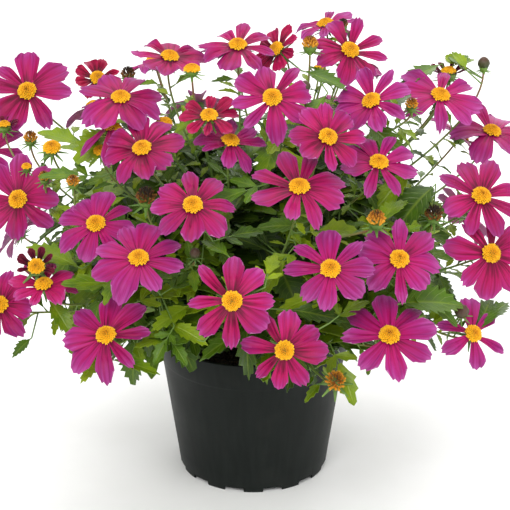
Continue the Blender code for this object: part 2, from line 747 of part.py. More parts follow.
def leaf_solid(leaf, thickness=BLADE):
    """A leaf along +X from its blade's root on the origin, as a closed bmesh.

    The blade is arched and is folded at its midrib. Its leaf stalk is a strip that comes
    from the leaf's start, or is the root of the blade where there is none.
    """
    shape, length, arch, fold, start = leaf
    bm = bmesh.new()
    half = [(along * length, out * length) for along, out in OUTLINES[shape]]
    half.insert(0, (0, LEAF_STALK / 2))
    if start:
        half.insert(0, (-start.length, LEAF_STALK / 2))
    rim = [(along, -out) for along, out in half] + [(along, out) for along, out in half[-2::-1]]
    bm.faces.new([bm.verts.new((along, out, 0)) for along, out in rim])
    cuts = [(0, (0, 1, 0)), *[(bend * length, (1, 0, 0)) for bend in BENDS]]
    if start:
        cuts.append((0, (1, 0, 0)))
    for spot, way in cuts:
        everything = bm.verts[:] + bm.edges[:] + bm.faces[:]
        middle = (spot, 0, 0)
        bmesh.ops.bisect_plane(bm, geom=everything, dist=0.00001, plane_co=middle, plane_no=way)
    for vertex in bm.verts:
        share = vertex.co.x / length
        if share < -0.001:
            vertex.co = start + Vector((0, vertex.co.y, 0))
        else:
            vertex.co.z = fold * abs(vertex.co.y) - arch * length * share * share
    bmesh.ops.triangulate(bm, faces=bm.faces)
    bmesh.ops.recalc_face_normals(bm, faces=bm.faces)
    if sum(face.normal.z for face in bm.faces) < 0:
        bmesh.ops.reverse_faces(bm, faces=bm.faces)
    bmesh.ops.solidify(bm, geom=bm.faces[:], thickness=thickness)
    return bm


def leaf_frame(root, way, normal):
    """A frame at a leaf's root whose X is its way and whose Z is nearest the normal."""
    across = normal.cross(way).normalized()
    frame = Matrix((way, across, way.cross(across))).transposed().to_4x4()
    return Matrix.Translation(root) @ frame


def leaf_fits(stems, stem, blooms, frame, leaf):
    """Whether a leaf is clear of every bloom, every other stem and the rest of its own."""
    lifted = frame @ Matrix.Translation((0, 0, GAP))
    room = tree_of(leaf_solid(leaf, BLADE + 2 * GAP), lifted)
    taken = others(stems, stem) + [bloom["tree"] for bloom in blooms]
    if any(room.overlap(tree) for tree in taken):
        return False
    outer = leaf_solid(leaf, BLADE + 2 * GAP)
    everything = outer.verts[:] + outer.edges[:] + outer.faces[:]
    base = {"plane_co": (0.22 * leaf[1], 0, 0), "plane_no": (1, 0, 0)}
    bmesh.ops.bisect_plane(outer, geom=everything, clear_inner=True, **base)
    outer = tree_of(outer, lifted)
    return not any(outer.overlap(tree) for tree in stem["trees"])


def view_leaf_ways(number, row):
    """The frames that a leaf of the view may take, and its form, likeliest first."""
    across, up, length, heading, behind, shape = row
    rng = random.Random(100 + number)
    form = (shape, length, rng.uniform(0.12, 0.28), rng.uniform(0.15, 0.35))
    normal = facing(LEAF_LEAN + rng.uniform(-10, 10), rng.uniform(-15, 15))
    for deeper in (0, 0.008):
        middle = seen_at(across, up, behind + deeper)
        for turn in LEAF_TURNS:
            angle = math.radians(heading + turn)
            way = VIEW_RIGHT * math.cos(angle) + VIEW_UP * math.sin(angle)
            way = (way - normal * way.dot(normal)).normalized()
            yield leaf_frame(middle - way * length * 0.6, way, normal), form


def nearest_stem(stems, spot):
    """The stem that has a point nearest to a spot, and that point."""
    best = None
    for stem in stems:
        for line in stem["lines"]:
            for point in samples(line[:-1] if len(line) > 3 else line, 0.004):
                apart = (point - spot).length
                if best is None or apart < best[0]:
                    best = (apart, stem, point)
    return best[1], best[2]


def grow_view_leaves(stems, blooms):
    """The leaves of the view, each on a leaf stalk from the nearest stem."""
    for number, row in enumerate(LEAVES):
        for frame, form in view_leaf_ways(number, row):
            root = frame.translation
            stem, start = nearest_stem(stems, root - frame.col[0].xyz * 0.012)
            leaf = (*form, frame.inverted() @ start)
            if leaf_fits(stems, stem, blooms, frame, leaf):
                bm = leaf_solid(leaf)
                bm.transform(frame)
                add_piece(stem, mesh_of(bm))
                break


def pair_ways(line, share, turns):
    """The frames that a leaf may take some quarter turns round a line, straightest first."""
    root, along = sharing(line, share)
    level = along.cross(Vector((0, 0, 1))).normalized()
    for turn in PAIR_TURNS:
        way = Matrix.Rotation(math.radians(90 * turns + turn), 3, along) @ level
        way = (way * 0.85 + along * 0.5).normalized()
        normal = Vector((0, 0, 1)) - way * way.z
        if normal.length > 0.2:
            yield leaf_frame(root, way, normal)


def grow_leaf(stems, stem, blooms, line, share, turns, number):
    """One leaf at a share of a stem's line, turned round it until it fits."""
    rng = random.Random(1000 + number)
    length = PAIR_LENGTH * rng.uniform(0.8, 1.15)
    shape = rng.choice(("lobed", "toothed"))
    leaf = (shape, length, rng.uniform(0.12, 0.30), rng.uniform(0.15, 0.35), None)
    for frame in pair_ways(line, share, turns):
        if leaf_fits(stems, stem, blooms, frame, leaf):
            bm = leaf_solid(leaf)
            bm.transform(frame)
            add_piece(stem, mesh_of(bm))
            return


def grow_stem_leaves(stems, blooms):
    """A pair of leaves on each main stem, and one on every other stalk to the far side."""
    for number, stem in enumerate(stems):
        for side in (0, 1):
            grow_leaf(stems, stem, blooms, stem["path"], PAIR_PLACE, 2 * side, 50 * number + side)
        for place, line in enumerate(stem["lines"][1:], 2):
            if line[-1].y > FAR_SIDE and place % 2:
                grow_leaf(stems, stem, blooms, line, STALK_LEAF_PLACE, place, 50 * number + place)


def largest_body(mesh):
    """The mesh less any sealed hollow or loose scrap that a union leaves."""
    bm = bmesh.new()
    bm.from_mesh(mesh)
    waiting = set(bm.verts)
    bodies = []
    while waiting:
        edge_of = [waiting.pop()]
        body = set(edge_of)
        while edge_of:
            corner = edge_of.pop()
            fresh = {edge.other_vert(corner) for edge in corner.link_edges} & waiting
            waiting -= fresh
            body |= fresh
            edge_of += fresh
        bodies.append(body)
    bodies.sort(key=len)
    for body in bodies[:-1]:
        bmesh.ops.delete(bm, geom=list(body), context="VERTS")
    bm.to_mesh(mesh)
    bm.free()
    return mesh


def fuse(name, meshes, finish):
    """One body of all the meshes, by one Boolean union with the first of them."""
    group = collection(name + "_pieces")
    for number, mesh in enumerate(meshes[1:]):
        placed(f"{name}_piece_{number}", mesh, group)
    body = placed(name, meshes[0], parts, finish)
    union = body.modifiers.new("Union", "BOOLEAN")
    union.operation = "UNION"
    union.operand_type = "COLLECTION"
    union.collection = group
    union.solver = "MANIFOLD"
    fused = as_mesh(body)
    body.modifiers.remove(union)
    body.data = largest_body(fused)
    for piece in list(group.objects):
        bpy.data.objects.remove(piece)
    bpy.data.collections.remove(group)
    return body


def make_leafy_stems(paths, blooms):
    """The leafy stems: main stem, stalks, small heads and leaves, each stem one body."""
    branches = round((BRANCH_LAST - BRANCH_FIRST) / BRANCH_STEP)
    stems = [
        {
            "path": path,
            "lines": [path],
            "buds": [BRANCH_FIRST + BRANCH_STEP * i for i in range(branches + 1)],
            "pieces": [],
            "trees": [],
        }
        for path in paths
    ]
    for stem in stems:
        taper = (STEM_RADIUS - STEM_TIP_RADIUS) / (len(stem["path"]) - 1)
        radii = [STEM_RADIUS - taper * i for i in range(len(stem["path"]))]
        add_piece(stem, tube(stem["path"], radii, STEM_SIDES))
    grow_bloom_stalks(stems, blooms)
    grow_heads(stems, blooms)
    grow_view_leaves(stems, blooms)
    grow_stem_leaves(stems, blooms)
    green = material("green", 0.5)
    for number, stem in enumerate(stems, 1):
        fuse(f"leafy_stem_{number:02d}", stem["pieces"], green)


clear_scene()
parts = collection("potted_bidens")
cutters = collection("cutters")
guides = collection("guides")

stem_paths = main_stem_paths()
make_pot()
make_soil([path[0].xy for path in stem_paths])
make_leafy_stems(stem_paths, make_blooms())
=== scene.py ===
"""Potted bidens, dressed: moulded pot, crumbly soil, wiry stems, cut leaves and pink blooms.

The file follows the plant as it stands: the room round it, the pot and the soil, then how
the bush is laid out, then its petals and discs, stems, leaves, cups and small heads.
Metres, +Z up, with the origin on the ground under the middle of the pot.
"""

import math
import random

import bmesh
import bpy
from mathutils import Matrix, Vector, noise
from mathutils.bvhtree import BVHTree
from mathutils.geometry import interpolate_bezier
from mathutils.kdtree import KDTree


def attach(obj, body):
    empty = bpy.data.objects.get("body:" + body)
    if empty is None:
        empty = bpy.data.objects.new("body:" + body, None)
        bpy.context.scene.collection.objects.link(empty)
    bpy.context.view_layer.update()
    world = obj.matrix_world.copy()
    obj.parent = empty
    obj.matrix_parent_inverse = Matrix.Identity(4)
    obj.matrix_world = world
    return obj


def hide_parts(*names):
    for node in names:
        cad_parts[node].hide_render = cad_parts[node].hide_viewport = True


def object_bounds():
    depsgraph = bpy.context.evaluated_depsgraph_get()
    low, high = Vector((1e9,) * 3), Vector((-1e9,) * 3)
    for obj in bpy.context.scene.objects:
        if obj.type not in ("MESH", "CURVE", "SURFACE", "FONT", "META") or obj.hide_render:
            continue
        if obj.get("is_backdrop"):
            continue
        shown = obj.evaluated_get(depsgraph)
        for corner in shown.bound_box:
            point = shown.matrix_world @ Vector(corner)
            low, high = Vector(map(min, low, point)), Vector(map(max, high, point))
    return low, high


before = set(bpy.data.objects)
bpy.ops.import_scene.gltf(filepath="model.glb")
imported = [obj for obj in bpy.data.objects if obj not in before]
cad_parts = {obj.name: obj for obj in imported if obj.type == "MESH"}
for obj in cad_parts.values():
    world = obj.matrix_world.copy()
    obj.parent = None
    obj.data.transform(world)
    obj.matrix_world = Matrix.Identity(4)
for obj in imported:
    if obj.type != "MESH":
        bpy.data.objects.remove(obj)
cad_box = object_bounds()
scene = bpy.context.scene

# The room: a floor of pale matt card and broad soft lamps round it, as in a product
# photograph on white. The camera stands a little above the plant and looks down at its
# middle through a long lens.

VIEW_RISE = math.radians(21.7)
VIEW_DISTANCE = 1.056
VIEW_AIM = Vector((0.0, 0.0, 0.139))
VIEW_RIGHT = Vector((1.0, 0.0, 0.0))
VIEW_UP = Vector((0.0, math.sin(VIEW_RISE), math.cos(VIEW_RISE)))
TOWARDS_VIEWER = Vector((0.0, -math.cos(VIEW_RISE), math.sin(VIEW_RISE)))
EYE = VIEW_AIM + TOWARDS_VIEWER * VIEW_DISTANCE

camera = bpy.data.objects.new("camera", bpy.data.cameras.new("camera"))
scene.collection.objects.link(camera)
camera.data.lens = 122.2
camera.data.shift_x = 0.0031
camera.location = EYE
camera.rotation_euler = (-TOWARDS_VIEWER).to_track_quat("-Z", "Y").to_euler()
scene.camera = camera
scene.view_settings.view_transform = "Standard"


def lamp(name, place, size, watts):
    """A square soft lamp at a place, turned to the middle of the plant."""
    made = bpy.data.objects.new(name, bpy.data.lights.new(name, "AREA"))
    scene.collection.objects.link(made)
    made.data.size = size
    made.data.energy = watts
    made.location = place
    made.rotation_euler = (VIEW_AIM - made.location).to_track_quat("-Z", "Y").to_euler()


lamp("key_lamp", (-0.5, -1.65, 1.5), 0.9, 26)
lamp("fill_lamp", (1.5, -1.2, 0.7), 1.6, 12)
lamp("top_lamp", (0.1, 0.5, 1.8), 1.4, 17)
lamp("back_lamp", (0.6, 1.6, 0.9), 1.4, 12)

world = bpy.data.worlds.new("studio")
scene.world = world
world.use_nodes = True
world.node_tree.nodes["Background"].inputs["Color"].default_value = (1, 1, 1, 1)
world.node_tree.nodes["Background"].inputs["Strength"].default_value = 0.78


def colour(code):
    """An sRGB hex colour as linear red, green, blue and alpha."""
    parts = [int(code[i : i + 2], 16) / 255 for i in (1, 3, 5)]
    linear = [p / 12.92 if p <= 0.04045 else ((p + 0.055) / 1.055) ** 2.4 for p in parts]
    return (*linear, 1)


def add(tree, kind, inputs=None, take=0, stops=(), **settings):
    """Adds a node with its settings, and returns the output to take from it.

    Its inputs are values, or sockets that feed them. Stops are the places and hex colours
    of a colour ramp.
    """
    made = tree.nodes.new(kind)
    for name, value in settings.items():
        setattr(made, name, value)
    for place, code in stops[2:]:
        made.color_ramp.elements.new(place)
    for i, (place, code) in enumerate(stops):
        made.color_ramp.elements[i].position = place
        made.color_ramp.elements[i].color = colour(code)
    for name, value in (inputs or {}).items():
        if isinstance(value, bpy.types.NodeSocket):
            tree.links.new(value, made.inputs[name])
        else:
            made.inputs[name].default_value = value
    return made.outputs[take]


def new_material(name, **constants):
    """An empty Principled material, with its tree and the inputs of its shader."""
    made = bpy.data.materials.new(name)
    made.use_nodes = True
    inputs = made.node_tree.nodes["Principled BSDF"].inputs
    for socket, value in constants.items():
        inputs[socket.replace("_", " ")].default_value = value
    return made, made.node_tree, inputs


def speckle(tree, where, scale, detail=2.0):
    """Soft noise over the places that it is given."""
    return add(tree, "ShaderNodeTexNoise", {"Vector": where, "Scale": scale, "Detail": detail})


def ramp(tree, value, stops):
    """The colour that a value picks between stops."""
    return add(tree, "ShaderNodeValToRGB", {0: value}, stops=stops)


def link(mesh, name, *materials):
    """A finished mesh as an object of the scene, with its materials."""
    made = bpy.data.objects.new(name, mesh)
    scene.collection.objects.link(made)
    for material in materials:
        mesh.materials.append(material)
    return made


# Matt white card: an even face with a faint cloudiness
card, tree, inputs = new_material("matt_white_card", Roughness=0.9)
spot = add(tree, "ShaderNodeTexCoord", take="Object")
cloud = speckle(tree, spot, 30.0)
tint = ramp(tree, cloud, ((0.0, "#F4F4F2"), (1.0, "#FAFAF9")))
tree.links.new(tint, inputs["Base Color"])
floor_mesh = bpy.data.meshes.new("floor")
floor_mesh.from_pydata([(-6, -6, 0), (6, -6, 0), (6, 9, 0), (-6, 9, 0)], [], [(0, 1, 2, 3)])
link(floor_mesh, "floor", card)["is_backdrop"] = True

# The pot: a thin round nursery pot, injection moulded in black polypropylene. It tapers to
# its base, has a collar round the rim and short feet, and its floor has slots for water.

POT_HEIGHT = 0.092
RIM_RADIUS = 0.060
BASE_RADIUS = 0.046
POT_WALL = 0.0012
COLLAR_LOW = POT_HEIGHT - 0.0165
COLLAR_STEP = 0.0008
FEET = 12
FOOT_HEIGHT = 0.003
FLOOR_TOP = FOOT_HEIGHT + 0.0015
BOSS_RADIUS = 0.015
LIP = 0.0003
POT_STEPS = 168


def wall_radius(height):
    """Outer radius of the tapered pot wall at a height, under its collar."""
    share = height / POT_HEIGHT
    return BASE_RADIUS + (RIM_RADIUS - COLLAR_STEP - BASE_RADIUS) * share


def inner_radius(height):
    """Inner radius of the pot wall at a height."""
    return wall_radius(height) - POT_WALL


def as_mesh(obj):
    """The object as its modifiers leave it, as a plain mesh. The object is removed."""
    shaped = obj.evaluated_get(bpy.context.evaluated_depsgraph_get())
    made = bpy.data.meshes.new_from_object(shaped)
    bpy.data.objects.remove(obj)
    return made


def mesh_of(bm, name):
    """A bmesh, with its faces turned outwards, as a mesh. The bmesh is used up."""
    bmesh.ops.recalc_face_normals(bm, faces=bm.faces)
    made = bpy.data.meshes.new(name)
    bm.to_mesh(made)
    bm.free()
    return made


def turned(profile, steps):
    """A profile of (radius, height) points turned round the Z axis, as a mesh."""
    outline = bpy.data.meshes.new("profile")
    corners = [(radius, 0, height) for radius, height in profile]
    outline.from_pydata(corners, [(i, i + 1) for i in range(len(corners) - 1)], [])
    guide = link(outline, "profile")
    screw = guide.modifiers.new("Turn", "SCREW")
    screw.steps = screw.render_steps = steps
    screw.use_merge_vertices = True
    screw.merge_threshold = 0.00001
    bm = bmesh.new()
    bm.from_mesh(as_mesh(guide))
    return mesh_of(bm, "turned")


def smooth(mesh, degrees):
    """Smooth shading, with the edges that bend by more than an angle left sharp."""
    mesh.shade_smooth()
    mesh.set_sharp_from_angle(angle=math.radians(degrees))
    return mesh


def upright_boxes(places, length, width, low, high):
    """Upright boxes at (bearing, middle radius) places, length measured outwards."""
    bm = bmesh.new()
    for bearing, radius in places:
        spin = Matrix.Rotation(bearing, 4, "Z")
        move = Matrix.Translation((radius, 0, (low + high) / 2))
        shape = Matrix.Diagonal((length, width, high - low, 1))
        bmesh.ops.create_cube(bm, size=1, matrix=spin @ move @ shape)
    return mesh_of(bm, "boxes")


pot_profile = (
    (0, FLOOR_TOP),
    (inner_radius(FLOOR_TOP) - 0.002, FLOOR_TOP),
    (inner_radius(FLOOR_TOP) - 0.0006, FLOOR_TOP + 0.0005),
    (inner_radius(FLOOR_TOP + 0.002), FLOOR_TOP + 0.002),
    (inner_radius(POT_HEIGHT - LIP), POT_HEIGHT - LIP),
    (inner_radius(POT_HEIGHT) + LIP, POT_HEIGHT),
    (RIM_RADIUS - LIP, POT_HEIGHT),
    (RIM_RADIUS, POT_HEIGHT - LIP),
    (RIM_RADIUS - 0.0002, POT_HEIGHT - 0.0022),
    (wall_radius(COLLAR_LOW) + COLLAR_STEP, COLLAR_LOW + LIP),
    (wall_radius(COLLAR_LOW) + COLLAR_STEP - 0.0002, COLLAR_LOW),
    (wall_radius(COLLAR_LOW) + LIP, COLLAR_LOW - COLLAR_STEP),
    (wall_radius(COLLAR_LOW - 0.0015), COLLAR_LOW - 0.0015),
    (wall_radius(0.012), 0.012),
    (BASE_RADIUS + 0.0002, 0.001),
    (BASE_RADIUS - 0.0003, 0),
    (BASE_RADIUS - POT_WALL, 0),
    (inner_radius(FOOT_HEIGHT), FOOT_HEIGHT),
    (BOSS_RADIUS + 0.0005, FOOT_HEIGHT),
    (BOSS_RADIUS, 0),
    (0, 0),
)
foot_step = math.tau / FEET
notches = [-math.pi / 2 + foot_step * (i + 0.5) for i in range(FEET)]
notch_width = foot_step * BASE_RADIUS / 2
cutters = (
    upright_boxes([(b, BASE_RADIUS) for b in notches], 0.0096, notch_width, -0.003, 0.0027),
    upright_boxes([(b, BASE_RADIUS - 0.010) for b in notches[::2]], 0.006, 0.007, 0.0015, 0.0075),
)
pot = link(turned(pot_profile, POT_STEPS), "pot_blank")
cutters = [link(mesh, "pot_cutter") for mesh in cutters]
for cutter in cutters:
    boolean = pot.modifiers.new("Cut", "BOOLEAN")
    boolean.operation = "DIFFERENCE"
    boolean.object = cutter
bevel = pot.modifiers.new("Soft edges", "BEVEL")
bevel.width = 0.00018
bevel.segments = 2
bevel.limit_method = "ANGLE"
bevel.angle_limit = math.radians(50)
pot_mesh = smooth(as_mesh(pot), 32)
for cutter in cutters:
    bpy.data.objects.remove(cutter)


def ranged(tree, value, low, high, first=0.0, last=1.0):
    """A value that runs from low to high where another runs from first to last."""
    return add(tree, "ShaderNodeMapRange", {0: value, 1: first, 2: last, 3: low, 4: high})


def mixed(tree, share, one, other):
    """One colour with a share of another in it."""
    return add(tree, "ShaderNodeMix", {0: share, 6: one, 7: other}, take=2, data_type="RGBA")


def finish_skin(tree, inputs, tint, height, strength, distance):
    """Leads a colour and the relief of a height to the shader."""
    tree.links.new(tint, inputs["Base Color"])
    relief = {"Height": height, "Strength": strength, "Distance": distance}
    tree.links.new(add(tree, "ShaderNodeBump", relief), inputs["Normal"])


# Moulded polypropylene: black with a grey cast and a soft broad shine, pits of 0.7 mm,
# faint upright flow lines 3 mm apart, and a breath of dust that dulls it in patches
black_plastic, tree, inputs = new_material(
    "moulded_black_polypropylene", IOR=1.49, Specular_IOR_Level=0.11
)
spot = add(tree, "ShaderNodeTexCoord", take="Object")
drawn = add(tree, "ShaderNodeMapping", {"Vector": spot, "Scale": (320.0, 320.0, 9.0)})
flow = speckle(tree, drawn, 1.0)
dust = speckle(tree, spot, 60.0, 7.0)
body = ramp(tree, flow, ((0.25, "#141816"), (0.75, "#1B1F1D")))
veil = ranged(tree, dust, 0.0, 0.10, 0.55, 0.85)
tint = mixed(tree, veil, body, colour("#4A4742"))
dull = ranged(tree, dust, 0.38, 0.60)
tree.links.new(dull, inputs["Roughness"])
pits = speckle(tree, spot, 1400.0, 2.0)
finish_skin(tree, inputs, tint, pits, 0.15, 0.0002)

pot = link(pot_mesh, "moulded_pot", black_plastic)
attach(pot, "root")
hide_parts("pot")

# The soil: moist compost of peat and bark, pressed into the pot to 8 mm under its rim. Its
# face is uneven and strewn with crumbs.

SOIL_TOP = 0.084
SOIL_BOTTOM = FLOOR_TOP + 0.0003
SOIL_EDGE = inner_radius(SOIL_TOP) - 0.0005
SOIL_FOOT = inner_radius(SOIL_BOTTOM) - 0.0005
SOIL_RINGS = 26
CRUMBS = 1700
CRUMB_SIZE = 0.0011


def soil_height(x, y):
    """Height of the soil's face, with soft lumps and finer ones on them."""
    lumps = noise.noise(Vector((x, y, SOIL_TOP)) * 140) * 0.0013
    return SOIL_TOP + lumps + noise.fractal(Vector((x, y, 3)) * 420, 1.0, 2.0, 3) * 0.0006


def geometry_tree(name, **sockets):
    """A geometry tree with named inputs, and its input node's outputs."""
    tree = bpy.data.node_groups.new(name, "GeometryNodeTree")
    tree.interface.new_socket("Geometry", in_out="OUTPUT", socket_type="NodeSocketGeometry")
    tree.interface.new_socket("Geometry", in_out="INPUT", socket_type="NodeSocketGeometry")
    for socket, kind in sockets.items():
        tree.interface.new_socket(socket, in_out="INPUT", socket_type="NodeSocket" + kind)
    return tree, tree.nodes.new("NodeGroupInput").outputs


def end_tree(tree, given, geometry):
    """Ends a tree with its geometry, made real and in the finish that it is given."""
    real = add(tree, "GeometryNodeRealizeInstances", {0: geometry})
    finished = add(tree, "GeometryNodeSetMaterial", {0: real, "Material": given["Finish"]})
    tree.links.new(finished, tree.nodes.new("NodeGroupOutput").inputs[0])


def end_with_copies(tree, given, source, points, rotation, size):
    """Ends a tree with copies of the object that it is given under a name, on points."""
    shape = add(tree, "GeometryNodeObjectInfo", {"Object": given[source]}, take="Geometry")
    copies = {"Points": points, "Instance": shape, "Rotation": rotation, "Scale": size}
    end_tree(tree, given, add(tree, "GeometryNodeInstanceOnPoints", copies))


def grown(obj, tree, **values):
    """The object as a geometry tree leaves it, as a plain mesh. The object is removed."""
    modifier = obj.modifiers.new("Grow", "NODES")
    modifier.node_group = tree
    for item in tree.interface.items_tree:
        if item.name in values:
            modifier[item.identifier] = values[item.name]
    return as_mesh(obj)


rows = [(SOIL_EDGE * i / SOIL_RINGS, SOIL_TOP) for i in range(SOIL_RINGS + 1)]
soil_mesh = turned((*rows, (SOIL_FOOT, SOIL_BOTTOM), (0, SOIL_BOTTOM)), 96)
for vertex in soil_mesh.vertices:
    if vertex.co.z > SOIL_TOP - LIP and vertex.co.xy.length < SOIL_EDGE - LIP:
        vertex.co.z = soil_height(vertex.co.x, vertex.co.y)
smooth(soil_mesh, 60)


def maths(tree, operation, *values):
    """The outcome of a sum with one or two values."""
    return add(tree, "ShaderNodeMath", dict(enumerate(values)), operation=operation)


def plain_skin(name, stops, patches, relief, sway=0.0, **constants):
    """A material in a few colours, picked by patches, over a fine relief.

    Patches are the scale and detail of a noise, and relief is the same with its strength and
    depth. With a sway, the tone of the mesh picks the colour, and patches shift it so far.
    """
    made, tree, inputs = new_material(name, **constants)
    spot = add(tree, "ShaderNodeTexCoord", take="Object")
    run = speckle(tree, spot, *patches)
    if sway:
        tone = add(tree, "ShaderNodeAttribute", take="Fac", attribute_name="tone")
        run = maths(tree, "ADD", tone, ranged(tree, run, -sway, sway))
    scale, detail, strength, depth = relief
    fine = speckle(tree, spot, scale, detail)
    finish_skin(tree, inputs, ramp(tree, run, stops), fine, strength, depth)
    return made


# Compost: almost black where it is wet, brown where it has dried, dull all over, with
# grains of 1 and 3 mm
stops = (0.30, "#120C08"), (0.52, "#2C1D12"), (0.72, "#4B3523")
relief = 1000.0, 4.0, 0.8, 0.0008
compost = plain_skin("peat_and_bark_compost", stops, (330.0, 5.0), relief, Roughness=0.92)

soil = link(soil_mesh, "compost", compost)
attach(soil, "root")
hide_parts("soil")

# A crumb is a rough lump of a few faces, and the tree strews it over the soil's face
bm = bmesh.new()
bmesh.ops.create_icosphere(bm, subdivisions=1, radius=1)
for vertex in bm.verts:
    vertex.co *= 1 + 0.45 * noise.noise(vertex.co * 1.7)
crumb = link(mesh_of(bm, "crumb"), "crumb")

tree, given = geometry_tree(
    "crumbs_over_soil",
    Crumb="Object",
    Density="Float",
    Size="Float",
    Seed="Int",
    Finish="Material",
)
strewn = {"Mesh": given["Geometry"], "Density": given["Density"], "Seed": given["Seed"]}
strewn = add(tree, "GeometryNodeDistributePointsOnFaces", strewn)
size = add(tree, "FunctionNodeRandomValue", {2: 0.35, 3: 1.5, 8: given["Seed"]}, take=1)
size = maths(tree, "MULTIPLY", size, given["Size"])
spin = {0: (0.0, 0.0, 0.0), 1: (6.28, 6.28, 6.28), 8: given["Seed"]}
spin = add(tree, "FunctionNodeRandomValue", spin, data_type="FLOAT_VECTOR")
end_with_copies(tree, given, "Crumb", strewn, spin, size)

bm = bmesh.new()
bmesh.ops.create_circle(bm, cap_ends=True, segments=48, radius=SOIL_EDGE - 0.002)
for vertex in bm.verts:
    vertex.co.z = SOIL_TOP
sheet = link(mesh_of(bm, "sheet"), "sheet")
density = CRUMBS / (math.pi * SOIL_EDGE**2)
values = {"Crumb": crumb, "Density": density, "Size": CRUMB_SIZE, "Seed": 3, "Finish": compost}
crumbs = link(grown(sheet, tree, **values), "compost_crumbs")
bpy.data.objects.remove(crumb)
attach(crumbs, "root")

# The layout of the bush: blooms, small heads and large leaves lie where the line of sight
# meets its rounded top. Eleven main stems arch up out of the soil, and a stalk leaves one of
# them for each bloom and each small head.

DOME_CENTRE = Vector((0.0, 0.0, 0.115))
DOME_RADII = Vector((0.165, 0.152, 0.170))
CROWN = Vector((0.0, 0.0, 0.100))
STEM_RINGS = (
    {"count": 7, "ring": 0.027, "rise": 25, "reach": 0.100, "first": -134},
    {"count": 4, "ring": 0.011, "rise": 60, "reach": 0.100, "first": -120},
)
STEM_SPACING = 0.020
STALK_SPACING = 0.030
HOLE_DEPTH = 0.014
CALYX_HEIGHT = 0.005
# How far under a bloom or head its stem's solid is looked for
HUB_DEPTH = 0.001
BRANCH_FIRST = 0.34
BRANCH_STEP = 0.032
BUDS = 21
STALK_SWAYS = (0, 0.008, 0.016, 0.026, 0.036)
SWAY_WAYS = 6
# How far a stalk's curve holds its first and last ways, as shares of its span
STALK_LEAVES = 0.33
STALK_ARRIVES = 0.24
STALK_ALONG_STEM = 0.8
SWAY_AT_END = 0.7
DRAWN_SPACING = 0.005
FINE_SPACING = 0.004
# A main stem's foot stands clear of the floor of its hole, and it grows straight up to its
# mouth, over the soil. Its curve holds its first and last ways for such shares of its span.
STEM_FOOT_GAP = 0.0003
STEM_MOUTH = 0.003
STEM_LEAVES = 0.35
STEM_ARRIVES = 0.3
# The stalk of a tiny head starts from the line nearest to a point so far behind and below it
TINY_BEHIND = 0.030
TINY_BELOW = 0.006
TINY_RISE = 0.002
TINY_ARRIVES = 0.008

# Blooms from the front: metres across and up the view, width, degrees that it leans up and
# turns right, roll, number of petals, degrees that they cup, metres behind the rounded top
# and colour
BLOOMS = (
    (-0.138, 0.100, 0.057, 20, -5, 17, 8, 8, 0.000, "pink"),
    (-0.095, 0.108, 0.030, 30, 10, 5, 8, 14, 0.016, "red"),
    (-0.081, 0.096, 0.053, 48, 0, 0, 8, 6, 0.000, "pink"),
    (-0.051, 0.121, 0.044, 52, 10, 25, 8, 6, 0.000, "pink"),
    (-0.068, 0.065, 0.050, 40, -10, 32, 8, 8, 0.000, "pink"),
    (-0.1435, 0.034, 0.054, 12, -15, 20, 8, 8, 0.000, "pink"),
    (-0.096, 0.019, 0.049, 32, -5, 10, 8, 8, 0.008, "pink"),
    (-0.070, -0.002, 0.052, 38, 0, 5, 8, 8, -0.006, "pink"),
    (-0.128, -0.018, 0.043, 50, -5, 10, 8, 10, 0.000, "rose"),
    (-0.1545, -0.0305, 0.047, 20, -20, 10, 8, 8, 0.000, "pink"),
    (-0.090, -0.049, 0.053, 32, -5, 20, 8, 6, 0.000, "pink"),
    (-0.037, 0.0305, 0.048, 28, 0, 25, 8, 8, 0.000, "pink"),
    (-0.013, -0.028, 0.050, 5, 0, 22, 8, 6, -0.004, "pink"),
    (0.019, -0.058, 0.047, 0, 0, 12, 8, 6, 0.000, "pink"),
    (0.028, 0.0415, 0.058, 42, 0, 0, 8, 8, 0.000, "pink"),
    (0.047, -0.0085, 0.052, 28, 0, 26, 8, 8, 0.000, "pink"),
    (0.089, -0.0025, 0.049, 25, 5, 20, 8, 8, 0.000, "pink"),
    (0.083, -0.049, 0.058, 30, 0, 30, 8, 6, 0.000, "pink"),
    (0.134, -0.048, 0.042, 20, 20, 40, 6, 6, 0.000, "pink"),
    (0.145, 0.001, 0.054, 8, 15, 20, 8, 8, 0.000, "pink"),
    (0.139, 0.036, 0.056, 30, 10, 0, 8, 8, 0.000, "pink"),
    (0.1455, 0.0755, 0.055, 52, 10, 0, 8, 6, 0.008, "pink"),
    (0.114, 0.0975, 0.056, 42, 10, 15, 8, 8, 0.000, "pink"),
    (0.072, 0.094, 0.048, 38, -20, 35, 8, 8, 0.000, "pink"),
    (0.0765, 0.0565, 0.047, 38, 5, 0, 8, 8, 0.000, "pink"),
    (0.0455, 0.072, 0.045, 30, 15, 25, 8, 8, 0.000, "pink"),
    (0.0115, 0.096, 0.050, 25, 0, 30, 8, 8, 0.000, "pink"),
    (-0.014, 0.0695, 0.042, 48, 10, 20, 8, 8, 0.022, "pink"),
    (-0.027, 0.085, 0.034, 42, 0, 25, 8, 10, 0.000, "red"),
    (-0.0095, 0.128, 0.046, 48, 0, 10, 8, 8, 0.000, "pink"),
    (0.014, 0.1255, 0.032, 30, -35, 30, 8, 12, 0.012, "red"),
    (0.059, 0.125, 0.049, 30, 15, 10, 8, 8, 0.000, "pink"),
    (0.0440, 0.141, 0.042, 62, -10, 15, 8, 8, 0.008, "pink"),
    (-0.161, 0.064, 0.048, 40, -15, 10, 8, 8, 0.000, "pink"),
    (-0.0855, 0.077, 0.040, 65, 0, 20, 6, -45, 0.010, "pink"),
)

